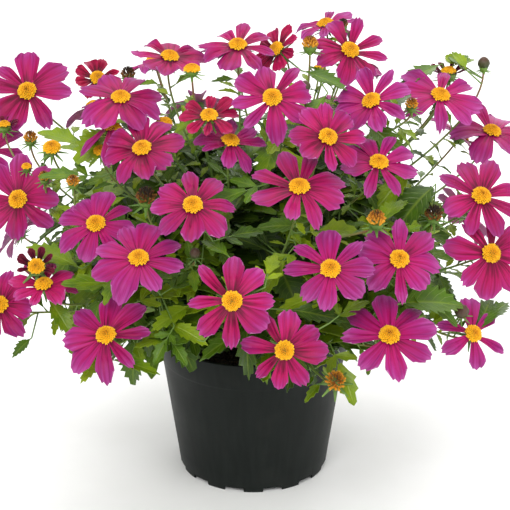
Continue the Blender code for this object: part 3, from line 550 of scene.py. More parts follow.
# Rings of blooms on the far side: degrees of rise, how many, the bearings between which
# they are spread and metres that they sit deeper
BACK_RINGS = ((6, 5, 30, 160, 0), (32, 4, 22, 142, 0), (58, 3, 40, 150, 0.015))
BACK_WIDTH = 0.048
BACK_PETALS = 7
BACK_CUP = 7
BACK_RISE = 0.55

# Small heads: across, up, width, degrees that they lean up, metres behind the rounded top
# and kind, and then those of the far side as rings
HEADS = (
    (-0.0375, 0.114, 0.010, 60, 0.000, "disc"),
    (-0.123, 0.066, 0.011, 40, 0.000, "disc"),
    (-0.136, 0.071, 0.009, 60, 0.004, "spent"),
    (-0.152, 0.0795, 0.010, 60, -0.006, "opening"),
    (-0.1325, -0.007, 0.013, 20, 0.000, "opening"),
    (-0.093, 0.064, 0.009, 40, 0.020, "disc"),
    (-0.0545, 0.081, 0.010, 50, 0.010, "disc"),
    (0.119, 0.112, 0.013, 65, 0.000, "opening"),
    (0.075, 0.021, 0.011, 60, 0.000, "spent"),
    (0.110, 0.0245, 0.011, 50, 0.008, "spent"),
    (0.050, -0.077, 0.012, 20, 0.010, "spent"),
    (0.0345, 0.128, 0.010, 75, 0.004, "spent"),
    (-0.0655, 0.035, 0.012, 50, 0.010, "spent"),
    (0.1405, 0.116, 0.007, 70, 0.000, "bud"),
    (-0.0765, 0.110, 0.009, 60, 0.008, "bud"),
    (0.082, -0.0335, 0.009, 30, 0.012, "disc"),
)
BACK_HEADS = ((18, 2, 62, 128, "spent"), (46, 2, 70, 120, "disc"))
BACK_HEAD_WIDTH = 0.009
# Rows of the small heads, from 0, that have dried into dark burrs
BURRS = 9, 12, 14

# Blooms and heads sit some way deeper or further out where they would meet others. Their
# solids show how far, by the underside of a bloom and by the top of a head.
PUSHES = (0.0, 0.006, -0.006, 0.012, -0.012, 0.018, 0.024, 0.030)
SOLID_PETAL = 0.0007
HUB_SPOTS = -0.002, 0, 0.002
HEAD_TOPS = {"bud": 0.6, "disc": 0.375, "spent": 0.45, "opening": 0.57}

# Heads so small that only the dress has them: across, up, width, lean, behind and kind
TINY_HEADS = (
    (-0.110, 0.0445, 0.008, 50, 0.006, "spent"),
    (0.0315, 0.102, 0.006, 60, 0.000, "bud"),
    (0.0965, 0.0915, 0.008, 55, 0.006, "spent"),
    (0.0545, 0.1405, 0.007, 70, -0.006, "burr"),
    (0.127, -0.035, 0.008, 30, 0.004, "bud"),
    (-0.0355, 0.0005, 0.006, 35, 0.020, "bud"),
    (0.060, 0.1335, 0.005, 60, -0.012, "bud"),
    (-0.1385, 0.0545, 0.006, 50, -0.008, "disc"),
    (-0.1275, 0.0475, 0.007, 50, 0.004, "spent"),
)


def surface_of(*nodes):
    """A search tree of the surface of some solids."""
    bm = bmesh.new()
    for node in nodes:
        bm.from_mesh(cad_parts[node].data)
    tree = BVHTree.FromBMesh(bm)
    bm.free()
    return tree


def off_by(solid, spots):
    """How far from a solid's surface the furthest of some spots lies."""
    return max(solid.find_nearest(spot)[3] for spot in spots)


def over(spot, radii):
    """A vector with each part divided by the radius that way."""
    return Vector([part / radius for part, radius in zip(spot, radii)])


def seen_at(across, up, behind):
    """The point seen at a place in the view, on the rounded top or some way behind it."""
    sight = (VIEW_AIM + VIEW_RIGHT * across + VIEW_UP * up - EYE).normalized()
    start = over(EYE - DOME_CENTRE, DOME_RADII)
    along = over(sight, DOME_RADII)
    half = start.dot(along)
    inside = max(half * half - along.dot(along) * (start.dot(start) - 1), 0)
    return EYE + sight * ((-half - math.sqrt(inside)) / along.dot(along) + behind)


def facing(lean, side):
    """The way a bloom faces that leans up and turns right by so many degrees."""
    lean = math.radians(lean)
    side = math.radians(side)
    forward = TOWARDS_VIEWER * math.cos(lean) + VIEW_UP * math.sin(lean)
    return forward * math.cos(side) + VIEW_RIGHT * math.sin(side)


def rising(bearing, rise):
    """The level way at a bearing, and the way that rises from it by an angle."""
    level = Vector((math.cos(bearing), math.sin(bearing), 0))
    return level, level * math.cos(rise) + Vector((0, 0, math.sin(rise)))


def spread(rings):
    """Places on the far side of the rounded top, with the way out there, roll and rest."""
    rng = random.Random(5)
    for rise, count, first, last, *rest in rings:
        for i in range(count):
            bearing = first + (last - first) * i / (count - 1)
            up = math.radians(rise + rng.uniform(-5, 5))
            round_it = math.radians(bearing + rng.uniform(-5, 5))
            _, out = rising(round_it, up)
            place = DOME_CENTRE + Vector([out[i] * DOME_RADII[i] for i in range(3)])
            yield place, out, rng.uniform(0, 45), rest


def upright_frame(place, normal, roll):
    """A frame at a place whose Z is the normal and whose X starts from the view's right."""
    side = VIEW_RIGHT - normal * VIEW_RIGHT.dot(normal)
    if side.length < 0.3:
        side = VIEW_UP - normal * VIEW_UP.dot(normal)
    side.normalize()
    turn = Matrix((side, normal.cross(side), normal)).transposed().to_4x4()
    return Matrix.Translation(place) @ turn @ Matrix.Rotation(math.radians(roll), 4, "Z")


def curve_points(controls, spacing):
    """Points along a smooth curve with four control points, about a spacing apart."""
    length = sum((b - a).length for a, b in zip(controls, controls[1:]))
    return interpolate_bezier(*controls, max(4, round(length / spacing) + 1))


def sharing(path, share):
    """The point at a share of a path's length and the direction there."""
    lengths = [(b - a).length for a, b in zip(path, path[1:])]
    left = share * sum(lengths)
    for a, b, length in zip(path, path[1:], lengths):
        if left <= length:
            break
        left -= length
    return a.lerp(b, min(left / length, 1)), (b - a).normalized()


def main_stems():
    """The main stems, each with its lines as they are laid out and as they are drawn."""
    rng = random.Random(2)
    made = []
    for ring in STEM_RINGS:
        for i in range(ring["count"]):
            bearing = math.radians(ring["first"] + 360 * i / ring["count"] + rng.uniform(-6, 6))
            rise = math.radians(ring["rise"] + rng.uniform(-4, 4))
            out, tip_way = rising(bearing, rise)
            root = out * ring["ring"] + Vector((0, 0, SOIL_TOP - HOLE_DEPTH + STEM_FOOT_GAP))
            mouth = root + Vector((0, 0, HOLE_DEPTH + STEM_MOUTH))
            tip = CROWN + tip_way * ring["reach"]
            span = (tip - mouth).length
            above = mouth + Vector((0, 0, STEM_LEAVES * span))
            below = tip - tip_way * (STEM_ARRIVES * span)
            controls = mouth, above, below, tip
            laid = [root, *curve_points(controls, STEM_SPACING)]
            drawn = [root, *curve_points(controls, FINE_SPACING)]
            stem = {"laid": [laid], "drawn": [drawn]}
            made.append(stem | {"solid": surface_of(f"leafy_stem_{len(made) + 1:02d}")})
    return made


def stalk_ways(stem, place, normal):
    """Control points of each way from a bud of a main stem to behind a head."""
    end = place - normal * CALYX_HEIGHT
    for bud in range(BUDS):
        start, along = sharing(stem["laid"][0], BRANCH_FIRST + BRANCH_STEP * bud)
        span = (end - start).length
        aim = (end - start).normalized()
        off = (aim - along * aim.dot(along)).normalized()
        leave = (STALK_ALONG_STEM * along + off + aim).normalized()
        for sway in STALK_SWAYS:
            for turn in range(SWAY_WAYS if sway else 1):
                aside = leave.orthogonal().normalized() * sway
                aside.rotate(Matrix.Rotation(math.tau * turn / SWAY_WAYS, 3, leave))
                first = start + leave * STALK_LEAVES * span + aside
                last = end - normal * STALK_ARRIVES * span + aside * SWAY_AT_END
                yield start, first, last, end


def stalk_misfit(stem, controls):
    """How far a way for a stalk lies from the one that the stem's solid has."""
    path = curve_points(controls, STALK_SPACING)
    shares = 0.2, 0.4, 0.6, 0.8
    spots = [a.lerp(b, share) for a, b in zip(path, path[1:]) for share in shares]
    return off_by(stem["solid"], spots)


def pushed(place, inward, touches, solid):
    """A place moved in or out until the touches, counted from it, lie on the solid."""
    places = [place + inward * push for push in PUSHES]
    return min(places, key=lambda spot: off_by(solid, [spot + touch for touch in touches]))


def pushed_bloom(place, inward, normal):
    """The place of the next bloom, moved in or out as its solid is."""
    aside = normal.orthogonal().normalized()
    touches = [aside * spot - normal * SOLID_PETAL for spot in HUB_SPOTS]
    return pushed(place, inward, touches, surface_of(f"bloom_{len(blooms) + 1:02d}"))


blooms = []
for across, up, width, lean, side, roll, petals, cup, behind, finish in BLOOMS:
    normal = facing(lean, side)
    place = seen_at(across, up, behind)
    place = pushed_bloom(place, (place - EYE).normalized(), normal)
    blooms.append((upright_frame(place, normal, roll), normal, width, petals, cup, finish))
for place, out, roll, (deeper,) in spread(BACK_RINGS):
    normal = (out + Vector((0, 0, BACK_RISE))).normalized()
    place = pushed_bloom(place - out * deeper, -out, normal)
    look = BACK_WIDTH, BACK_PETALS, BACK_CUP, "pink"
    blooms.append((upright_frame(place, normal, roll), normal, *look))

stems = main_stems()
greens = surface_of(*(f"leafy_stem_{number:02d}" for number in range(1, len(stems) + 1)))
heads = []
for number, (across, up, width, lean, behind, kind) in enumerate(HEADS):
    normal = facing(lean, 0)
    place = seen_at(across, up, behind)
    top = normal * HEAD_TOPS[kind] * width
    place = pushed(place, (place - EYE).normalized(), [top], greens)
    kind = "burr" if number in BURRS else kind
    heads.append((upright_frame(place, normal, 0), normal, width, kind))
for place, out, _, (kind,) in spread(BACK_HEADS):
    normal = (out + Vector((0, 0, 1))).normalized()
    place = pushed(place, -out, [normal * HEAD_TOPS[kind] * BACK_HEAD_WIDTH], greens)
    heads.append((upright_frame(place, normal, 0), normal, BACK_HEAD_WIDTH, kind))

# Each stalk leaves the stem whose solid holds its head, by the way that it takes there
stalk_owners = []
for place, normal, *_ in blooms + heads:
    seat = place.translation - normal * HUB_DEPTH
    stem = min(stems, key=lambda each: off_by(each["solid"], [seat]))
    ways = stalk_ways(stem, place.translation, normal)
    controls = min(ways, key=lambda way: stalk_misfit(stem, way))
    stem["laid"].append(curve_points(controls, STALK_SPACING))
    stem["drawn"].append(curve_points(controls, DRAWN_SPACING))
    stalk_owners.append(stems.index(stem))

line_points = [
    (number, point)
    for number, stem in enumerate(stems)
    for line in stem["drawn"]
    for point in line[1:-1]
]
line_tree = KDTree(len(line_points))
for i, (_, point) in enumerate(line_points):
    line_tree.insert(point, i)
line_tree.balance()


def nearest_line(spot):
    """The number of the stem that a spot is nearest to, and the nearest point on it."""
    return line_points[line_tree.find(spot)[1]]


for across, up, width, lean, behind, kind in TINY_HEADS:
    normal = facing(lean, 0)
    place = seen_at(across, up, behind)
    number, start = nearest_line(place - normal * TINY_BEHIND - Vector((0, 0, TINY_BELOW)))
    end = place - normal * CALYX_HEIGHT
    rise = start.lerp(end, 0.4) + Vector((0, 0, TINY_RISE))
    controls = start, rise, end - normal * TINY_ARRIVES, end
    stems[number]["drawn"].append(curve_points(controls, FINE_SPACING))
    heads.append((upright_frame(place, normal, 0), normal, width, kind))
    stalk_owners.append(number)

# The rays of a bloom: six to eight broad petals, soft and thin, round the disc. Each is
# narrow at its foot, widest past its middle, has two long grooves, and ends in blunt teeth.

HUB_RADIUS = 0.0055
PETAL_WIDTH = 0.208
PETAL_THICKNESS = 0.0003
# How far off its midrib a petal's grooves lie, as a share of its half width
GROOVE = 0.34
PETAL_ROWS = (-0.16, 0.0, 0.13, 0.26, 0.39, 0.52, 0.64, 0.75, 0.84, 0.91, 0.96, 1.0)
PETAL_COLUMNS = (-1.0, -0.82, -0.58, -GROOVE, 0.0, GROOVE, 0.58, 0.82, 1.0)
GROOVE_DEPTH = 0.00085
PETAL_OUTLINE = (
    *((-0.16, 0.34), (0.0, 0.48), (0.25, 0.74), (0.5, 0.97), (0.7, 1.08), (0.85, 1.06)),
    (1, 0.90),
)


def outline_at(outline, share):
    """Width from an outline of (share, width) points at a share of the length."""
    for (low, first), (high, second) in zip(outline, outline[1:]):
        if share <= high:
            break
    return first + (second - first) * max(0, min(1, (share - low) / (high - low)))


def new_store():
    """A place to gather the grids of one piece in."""
    return {"points": [], "faces": [], "uvs": [], "tones": []}


def add_grid(store, rows, tone):
    """Adds a sheet of rows of points to a store, with U along the rows and V across."""
    first = len(store["points"])
    columns = len(rows[0])
    for row in rows:
        store["points"] += row
        store["tones"] += [tone] * columns
    for i in range(len(rows) - 1):
        for j in range(columns - 1):
            corner = first + i * columns + j
            store["faces"].append((corner, corner + columns, corner + columns + 1, corner + 1))
            low, high = i / (len(rows) - 1), (i + 1) / (len(rows) - 1)
            left, right = j / (columns - 1), (j + 1) / (columns - 1)
            store["uvs"] += [low, left, high, left, high, right, low, right]


def thick_mesh(store, name, thickness, degrees, *materials):
    """The sheets of a store as closed blades, the back in the last of the materials."""
    sheet = bpy.data.meshes.new(name)
    sheet.from_pydata(store["points"], [], store["faces"])
    sheet.uv_layers.new(name="along_and_across").data.foreach_set("uv", store["uvs"])
    sheet.attributes.new("tone", "FLOAT", "POINT").data.foreach_set("value", store["tones"])
    guide = link(sheet, name, *materials)
    solidify = guide.modifiers.new("Thickness", "SOLIDIFY")
    solidify.thickness = thickness
    solidify.offset = -1
    solidify.material_offset = len(materials) - 1
    return smooth(as_mesh(guide), degrees)


def petal_grid(rng, whim, reach, turn, cup, slim):
    """Rows of points of one petal that faces +Z, from under the disc to its tip."""
    length = reach - HUB_RADIUS
    wide = PETAL_WIDTH * reach * slim * rng.uniform(0.94, 1.08)
    length *= rng.uniform(0.93, 1.03)
    turn += math.radians(rng.uniform(-3.5, 3.5))
    lift = math.tan(math.radians(cup + rng.uniform(-5, 5)))
    twist = rng.uniform(-0.06, 0.06)
    droop = rng.uniform(0.10, 0.30)
    wide *= whim.choice((0.66, 0.86, 1.0, 1.08, 1.16, 1.26))
    curl = whim.choice((-0.35, -0.10, 0.15, 0.35, 0.60))
    bend = whim.choice((-0.7, -0.35, -0.2, -0.1, 0.0, 0.1, 0.25))
    sweep = whim.uniform(-0.12, 0.12)
    tilt = whim.uniform(-0.22, 0.22)
    lift += whim.uniform(-0.14, 0.14)
    teeth = whim.uniform(0.02, 0.08)
    split = whim.choice((-GROOVE, GROOVE))
    phase = whim.uniform(0, 6.3)
    lower = whim.uniform(0, 0.0003)
    length *= whim.uniform(0.88, 1.03)
    turn += whim.uniform(-0.08, 0.08)
    rows = []
    for share in PETAL_ROWS:
        row = []
        for v in PETAL_COLUMNS:
            edge = 0.28 * abs(v) ** 3
            edge += teeth * math.exp(-(((abs(v) - GROOVE) / 0.13) ** 2))
            edge += 0.5 * teeth * math.exp(-(((v - split) / 0.12) ** 2))
            along = share - edge * max(0, (share - 0.45) / 0.55) ** 2
            side = v * wide * outline_at(PETAL_OUTLINE, share)
            height = length * (lift * along - droop * along * max(along, 0)) + twist * side
            height += tilt * side * max(along, 0)
            side += sweep * length * max(along, 0) ** 2
            height += curl * wide * v * v * max(along, 0)
            fade = max(0, min(1, 3 * share)) * max(0, 1 - share**6)
            height += bend * length * max(0, along - 0.4) ** 2
            height -= GROOVE_DEPTH * fade * math.exp(-(((abs(v) - GROOVE) / 0.15) ** 2))
            height += 0.0004 * share * math.sin(5 * share + phase) * v
            height += 0.0003 * share * math.sin(9 * share + 2 * phase)
            spot = Vector((HUB_RADIUS + along * length, side, height - lower - 0.0001))
            row.append(Matrix.Rotation(turn, 3, "Z") @ spot)
        rows.append(row)
    return rows


def add_rays(store, seed, place, width, petals, cup, shade, slim=1.0, fan=math.tau):
    """Adds the petals of one bloom to a store. Its shade is 0 for crimson and 1 for mauve.

    Slim narrows the petals, and fan is the angle that they spread over, from the frame's Y.
    """
    rng = random.Random(seed)
    whim = random.Random(7000 + seed)
    for i in range(petals):
        turn = math.pi / 2 + (i + 0.5) * fan / petals
        rows = petal_grid(rng, whim, width / 2, turn, cup, slim)
        rows = [[place @ spot for spot in row] for row in rows]
        add_grid(store, rows, 0.8 * shade + 0.2 * whim.random())


def blade_places(tree):
    """Over a petal or leaf: the place, how far along it is and how far off the midrib."""
    where = add(tree, "ShaderNodeUVMap", uv_map="along_and_across")
    along = add(tree, "ShaderNodeSeparateXYZ", {0: where}, take="X")
    across = add(tree, "ShaderNodeSeparateXYZ", {0: where}, take="Y")
    return where, along, maths(tree, "ABSOLUTE", ranged(tree, across, -1.0, 1.0))


# Petal skin: soft and satin, velvet in slanting light, crimson at its foot and paler to its
# lilac rim. Darker streaks 1 mm apart run from foot to tip, painted shade darkens its two
# grooves, and the back is paler.
PETAL_COLOURS = {
    "pink": ("#70042C", "#AA0A4E", "#A0246C", "#A84486"),
    "rose": ("#880434", "#B80844", "#B8185C", "#B84480"),
    "red": ("#5C041A", "#9C0430", "#AC083A", "#AC2850"),
    "maroon": ("#30040E", "#5A081E", "#6A0E28", "#84243E"),
}


def petal_skin(name, foot, middle, outer, rim, pale):
    """Petal skin in four colours from foot to rim, washed with white by a share."""
    made, tree, inputs = new_material(name, Roughness=0.5, IOR=1.40, Sheen_Weight=0.10)
    inputs["Sheen Tint"].default_value = colour("#D88AF0")
    inputs["Specular IOR Level"].default_value = 0.22
    where, along, side = blade_places(tree)
    tone = add(tree, "ShaderNodeAttribute", take="Fac", attribute_name="tone")
    aside = maths(tree, "MULTIPLY", tone, 40.0)
    drawn = add(tree, "ShaderNodeVectorMath", {0: where, 1: (1.5, 10.0, 1.0)}, operation="MULTIPLY")
    drawn = add(tree, "ShaderNodeVectorMath", {0: drawn, 1: aside}, operation="ADD")
    streaks = speckle(tree, drawn, 1.0, 3.0)
    # Painted shade: the colour is darkened along the two grooves, as if shade falls in them
    groove_shade = maths(tree, "ABSOLUTE", maths(tree, "SUBTRACT", side, GROOVE))
    groove_shade = ranged(tree, groove_shade, 0.74, 1.0, 0.0, 0.13)
    edge = maths(tree, "MULTIPLY", maths(tree, "POWER", side, 3.0), 0.16)
    wander = ranged(tree, streaks, -0.5, 0.5)
    mauve = ranged(tree, tone, -0.30, 0.16)
    run = along
    for shift in (edge, wander, mauve):
        run = maths(tree, "ADD", run, shift)
    stops = (0.05, foot), (0.30, middle), (0.70, outer), (1.0, rim)
    tint = ramp(tree, run, stops)
    dark = ranged(tree, streaks, 0.84, 1.08, 0.32, 0.66)
    dark = maths(tree, "MULTIPLY", dark, groove_shade)
    tint = add(tree, "ShaderNodeHueSaturation", {"Value": dark, "Color": tint})
    tint = mixed(tree, pale, tint, colour("#E8C0D8"))
    any_number = add(tree, "ShaderNodeTexWhiteNoise", {"W": tone}, noise_dimensions="1D")
    light = ranged(tree, any_number, 0.70, 0.94)
    hue = ranged(tree, tone, 0.508, 0.482)
    tint = {"Hue": hue, "Value": light, "Color": tint}
    tint = add(tree, "ShaderNodeHueSaturation", tint)
    finish_skin(tree, inputs, tint, streaks, 0.5, 0.0003)
    return made


petal_skins = {
    name: (petal_skin(f"{name}_petal", *codes, 0.0), petal_skin(f"{name}_petal_back", *codes, 0.22))
    for name, codes in PETAL_COLOURS.items()
}

# How far each bloom's petals lean from crimson, 0, to mauve, 1, differs at random
rng = random.Random(4)

for number, (place, _, width, petals, cup, finish) in enumerate(blooms, 1):
    store = new_store()
    add_rays(store, number, place, width, petals, cup, rng.uniform(0.4, 1.0))
    mesh = thick_mesh(store, f"petals_{number:02d}", PETAL_THICKNESS, 60, *petal_skins[finish])
    rays = link(mesh, f"petals_{number:02d}")
    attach(rays, "root")
    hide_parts(f"bloom_{number:02d}")

# The disc of a bloom: golden florets packed in spirals on a low dome, open funnels at its
# rim and tight ones in its middle. They stand on the same hub as the petals.

DISC_RADIUS = 0.0062
DISC_HEIGHT = 0.0034
FLORETS = 104
FLORET_SIZE = 0.00082
GOLDEN_ANGLE = 2.39996
DISC_VARIANTS = 4
# The florets' feet keep within such shares of the disc's radius and height
FEET_REACH = 0.92
FEET_RISE = 0.9
# A disc grows from such a share of full size, and by such a share more, over a range of
# widths from the smallest bloom's
DISC_LEAST = 0.78
DISC_GROWTH = 0.18
SMALLEST_BLOOM = 0.030
BLOOM_RANGE = 0.028
DISC_LIFT = 0.0006

tree, given = geometry_tree(
    "florets_in_spirals",
    Floret="Object",
    Count="Int",
    Radius="Float",
    Height="Float",
    Size="Float",
    Seed="Int",
    Finish="Material",
)
index = add(tree, "GeometryNodeInputIndex")
share = maths(tree, "ADD", index, 0.5)
share = maths(tree, "DIVIDE", share, given["Count"])
outward = maths(tree, "POWER", share, 0.5)
angle = maths(tree, "MULTIPLY", index, GOLDEN_ANGLE)
reach = maths(tree, "MULTIPLY", outward, given["Radius"])
fall = maths(tree, "POWER", share, 1.4)
fall = maths(tree, "SUBTRACT", 1.0, fall)
rise = maths(tree, "MULTIPLY", fall, given["Height"])
spot, lean = (
    add(
        tree,
        "ShaderNodeVectorRotate",
        {"Vector": add(tree, "ShaderNodeCombineXYZ", {0: x, 2: z}), "Angle": angle},
        rotation_type="Z_AXIS",
    )
    for x, z in ((reach, rise), (maths(tree, "MULTIPLY", share, 1.1), 1.0))
)
aim = add(tree, "FunctionNodeAlignRotationToVector", {"Vector": lean}, axis="Z")
jitter = {0: (-0.3, -0.3, -3.0), 1: (0.3, 0.3, 3.0), 8: given["Seed"]}
jitter = add(tree, "FunctionNodeRandomValue", jitter, data_type="FLOAT_VECTOR")
aim = add(tree, "FunctionNodeRotateRotation", {0: aim, 1: jitter}, rotation_space="LOCAL")
size = ranged(tree, outward, 0.62, 1.25)
size = maths(tree, "MULTIPLY", size, given["Size"])
whim = add(tree, "FunctionNodeRandomValue", {2: 0.8, 3: 1.2, 8: given["Seed"]}, take=1)
size = maths(tree, "MULTIPLY", size, whim)
points = add(tree, "GeometryNodePoints", {"Count": given["Count"], "Position": spot})
points = {"Geometry": points, "Name": "tone", "Value": outward}
points = add(tree, "GeometryNodeStoreNamedAttribute", points, data_type="FLOAT", domain="POINT")
end_with_copies(tree, given, "Floret", points, aim, size)
floret_tree = tree


def floret_shape(flare, depth):
    """One floret of unit size that opens upwards: a funnel with five points round its mouth."""
    bm = bmesh.new()
    foot = []
    mouth = []
    for i in range(10):
        across, up = math.cos(math.tau * i / 10), math.sin(math.tau * i / 10)
        radius, height = (0.55 * flare, 0.0) if i % 2 else (flare, 0.35)
        mouth.append(bm.verts.new((radius * across, radius * up, height)))
        if i % 2 == 0:
            foot.append(bm.verts.new((0.30 * across, 0.30 * up, -1.6)))
    heart = bm.verts.new((0, 0, depth))
    for i in range(5):
        a, b = foot[i], foot[(i + 1) % 5]
        left, middle, right = mouth[2 * i], mouth[2 * i + 1], mouth[(2 * i + 2) % 10]
        bm.faces.new((a, middle, left))
        bm.faces.new((a, b, middle))
        bm.faces.new((b, right, middle))
        bm.faces.new((left, middle, heart))
        bm.faces.new((middle, right, heart))
    bm.faces.new(foot)
    return link(mesh_of(bm, "floret"), "floret")


# Floret flesh: matt and waxy, golden yellow at the rim and deeper orange in the middle, with
# pollen in dots of 0.8 mm
stops = (0.0, "#C8820A"), (0.3, "#D8980E"), (0.62, "#E4AA14"), (1.0, "#EEBC22")
dots = 1300.0, 3.0
look = {"sway": 0.55, "Roughness": 0.62, "IOR": 1.40}
florets_fresh = plain_skin("golden_florets", stops, dots, (*dots, 0.6, 0.0003), **look)


def disc_mesh(name, **values):
    """Florets in spirals, as a mesh."""
    return grown(link(bpy.data.meshes.new(name), name), floret_tree, **values)


def seated(mesh, place, low, size, turn=0):
    """A copy of a mesh at a place, raised by a height over it, scaled and turned."""
    copy = mesh.copy()
    lift = Matrix.Translation((0, 0, low)) @ Matrix.Rotation(turn, 4, "Z")
    copy.transform(place @ lift @ Matrix.Scale(size, 4))
    return copy


funnel = floret_shape(1.0, -0.55)
values = {"Floret": funnel, "Count": FLORETS, "Radius": FEET_REACH * DISC_RADIUS}
values |= {"Height": DISC_HEIGHT * FEET_RISE, "Size": FLORET_SIZE, "Finish": florets_fresh}
disc_meshes = [disc_mesh("disc", Seed=seed, **values) for seed in range(DISC_VARIANTS)]
bpy.data.objects.remove(funnel)

for number, (place, _, width, *_) in enumerate(blooms, 1):
    size = DISC_LEAST + DISC_GROWTH * (width - SMALLEST_BLOOM) / BLOOM_RANGE
    mesh = seated(disc_meshes[number % DISC_VARIANTS], place, DISC_LIFT, size, number)
    florets = link(mesh, f"florets_{number:02d}")
    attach(florets, "root")
    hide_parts(f"bloom_{number:02d}")

# The stems and stalks: round green wires that grow one from another, over 4 mm thick at the
# soil and little more than 1 mm below the blooms, reddened towards the heads.

STEM_RADIUS = 0.0022
STEM_TIP_RADIUS = 0.0012
STALK_RADIUS = 0.00062
STALK_TAPER = 1.15, 0.95

tree, given = geometry_tree("tubes_along_paths", Sides="Int", Finish="Material")
curve = add(tree, "GeometryNodeMeshToCurve", {0: given["Geometry"]})
ring = add(tree, "GeometryNodeCurvePrimitiveCircle", {"Resolution": given["Sides"], "Radius": 1.0})
scale = add(tree, "GeometryNodeInputNamedAttribute", {"Name": "radius_here"}, data_type="FLOAT")
tubes = {"Curve": curve, "Profile Curve": ring, "Scale": scale, "Fill Caps": True}
end_tree(tree, given, add(tree, "GeometryNodeCurveToMesh", tubes))
tube_tree = tree


def tubes_mesh(paths, sides, finish):
    """Round tubes along paths of (point, radius, tone), as one mesh."""
    points = [item for path in paths for item in path]
    edges = []
    first = 0
    for path in paths:
        edges += [(first + i, first + i + 1) for i in range(len(path) - 1)]
        first += len(path)
    mesh = bpy.data.meshes.new("paths")
    mesh.from_pydata([point for point, _, _ in points], edges, [])
    for name, column in (("radius_here", 1), ("tone", 2)):
        values = [item[column] for item in points]
        mesh.attributes.new(name, "FLOAT", "POINT").data.foreach_set("value", values)
    made = grown(link(mesh, "paths"), tube_tree, Sides=sides, Finish=finish)
    bm = bmesh.new()
    bm.from_mesh(made)
    bmesh.ops.recalc_face_normals(bm, faces=bm.faces)
    bm.to_mesh(made)
    bm.free()
    return smooth(made, 60)


def tapered(line, first, last, start=0.0, end=1.0):
    """A line as a path whose radius and tone run evenly from first to last."""
    steps = len(line) - 1
    return [
        (spot, first + (last - first) * i / steps, start + (end - start) * i / steps)
        for i, spot in enumerate(line)
    ]


# Stem skin: satin green with a grain of 1 mm, in patches of 18 mm, and flushed with reddish
# brown towards the heads
stops = (0.0, "#5C7A34"), (0.45, "#6C8A3E"), (0.75, "#75803F"), (1.0, "#7E5A3C")
relief = 1000.0, 1.0, 0.3, 0.0003
look = {"sway": 0.5, "Roughness": 0.48, "IOR": 1.42}
stem_skin = plain_skin("ribbed_green_stem", stops, (55.0, 3.0), relief, **look)

stem_paths = []
for stem in stems:
    main, *stalks = stem["drawn"]
    stem_paths.append([tapered(main, STEM_RADIUS, STEM_TIP_RADIUS, 0.0, 0.4)])
    first, last = (STALK_RADIUS * share for share in STALK_TAPER)
    stem_paths[-1] += [tapered(line, first, last) for line in stalks]

# The leaves: cut or toothed blades, soft and thin, each on a leaf stalk. The large ones stand
# where the view shows them, in pairs on the main stems, and singly on stalks to the far side.

LEAF_THICKNESS = 0.00030
LEAF_STALK_RADIUS = 0.00045
LEAF_LEAN = 42
LEAF_COLUMNS = (-1, -0.55, 0, 0.55, 1)
TOOTH_OUT = 1.16
TOOTH_IN = 0.84
LEAF_RIPPLE = 0.0011
LEAF_CREASE = 0.10
PAIR_PLACE = 0.55
STALK_LEAF_PLACE = 0.45
PAIR_LENGTH = 0.042
LEAF_DEPTHS = (0, 0.008)
LEAF_TURNS = (0, 25, -25, 50, -50, 80, -80, 120)
PAIR_TURNS = (0, 22, -22, 45, -45, 70, -70)
SAME_LEAF = 0.0003

# Across and up to the middle of the leaf, length, degrees that its tip points to in the
# view, metres behind the rounded top and shape
LEAVES = (
    (-0.1155, 0.073, 0.045, 135, 0.004, "lobed"),
    (-0.115, 0.0505, 0.035, 190, 0.006, "lobed"),
    (-0.1165, -0.0395, 0.028, -40, 0.004, "toothed"),
    (-0.142, -0.056, 0.016, 240, 0.002, "toothed"),
    (0.1505, -0.032, 0.028, 60, 0.004, "toothed"),
    (0.112, -0.0275, 0.040, 10, 0.004, "lobed"),
    (0.125, 0.1205, 0.018, 110, 0.000, "toothed"),
    (0.0985, 0.1115, 0.035, 200, 0.006, "toothed"),
    (0.0465, 0.108, 0.030, 200, 0.010, "toothed"),
    (0.0355, 0.087, 0.028, 250, 0.008, "toothed"),
    (0.0515, 0.0855, 0.024, 70, 0.006, "toothed"),
    (-0.0155, 0.0385, 0.045, 210, 0.018, "lobed"),
    (0.022, 0.059, 0.045, -30, 0.020, "lobed"),
    (0.007, 0.058, 0.040, 240, 0.022, "toothed"),
    (0.094, 0.0245, 0.040, 80, 0.016, "lobed"),
    (0.082, 0.0385, 0.035, 150, 0.018, "toothed"),
    (0.086, 0.0305, 0.030, 70, 0.010, "toothed"),
    (0.0835, 0.0715, 0.035, 190, 0.010, "toothed"),
    (0.056, -0.073, 0.038, -20, 0.006, "lobed"),
    (-0.0985, -0.069, 0.022, 250, 0.004, "toothed"),
    (-0.069, -0.066, 0.028, -10, 0.006, "toothed"),
    (-0.0965, -0.015, 0.045, 100, 0.012, "lobed"),
    (-0.125, 0.002, 0.035, 100, 0.010, "toothed"),
    (-0.054, -0.0215, 0.040, 0, 0.024, "lobed"),
    (0.020, 0.020, 0.036, 130, 0.030, "lobed"),
    (0.013, -0.008, 0.035, -110, 0.018, "lobed"),
    (-0.0235, 0.0075, 0.022, 120, 0.014, "toothed"),
    (0.042, -0.035, 0.035, -20, 0.018, "toothed"),
    (0.0875, 0.0965, 0.030, 60, 0.016, "toothed"),
    (0.050, 0.0165, 0.040, 45, 0.026, "lobed"),
)

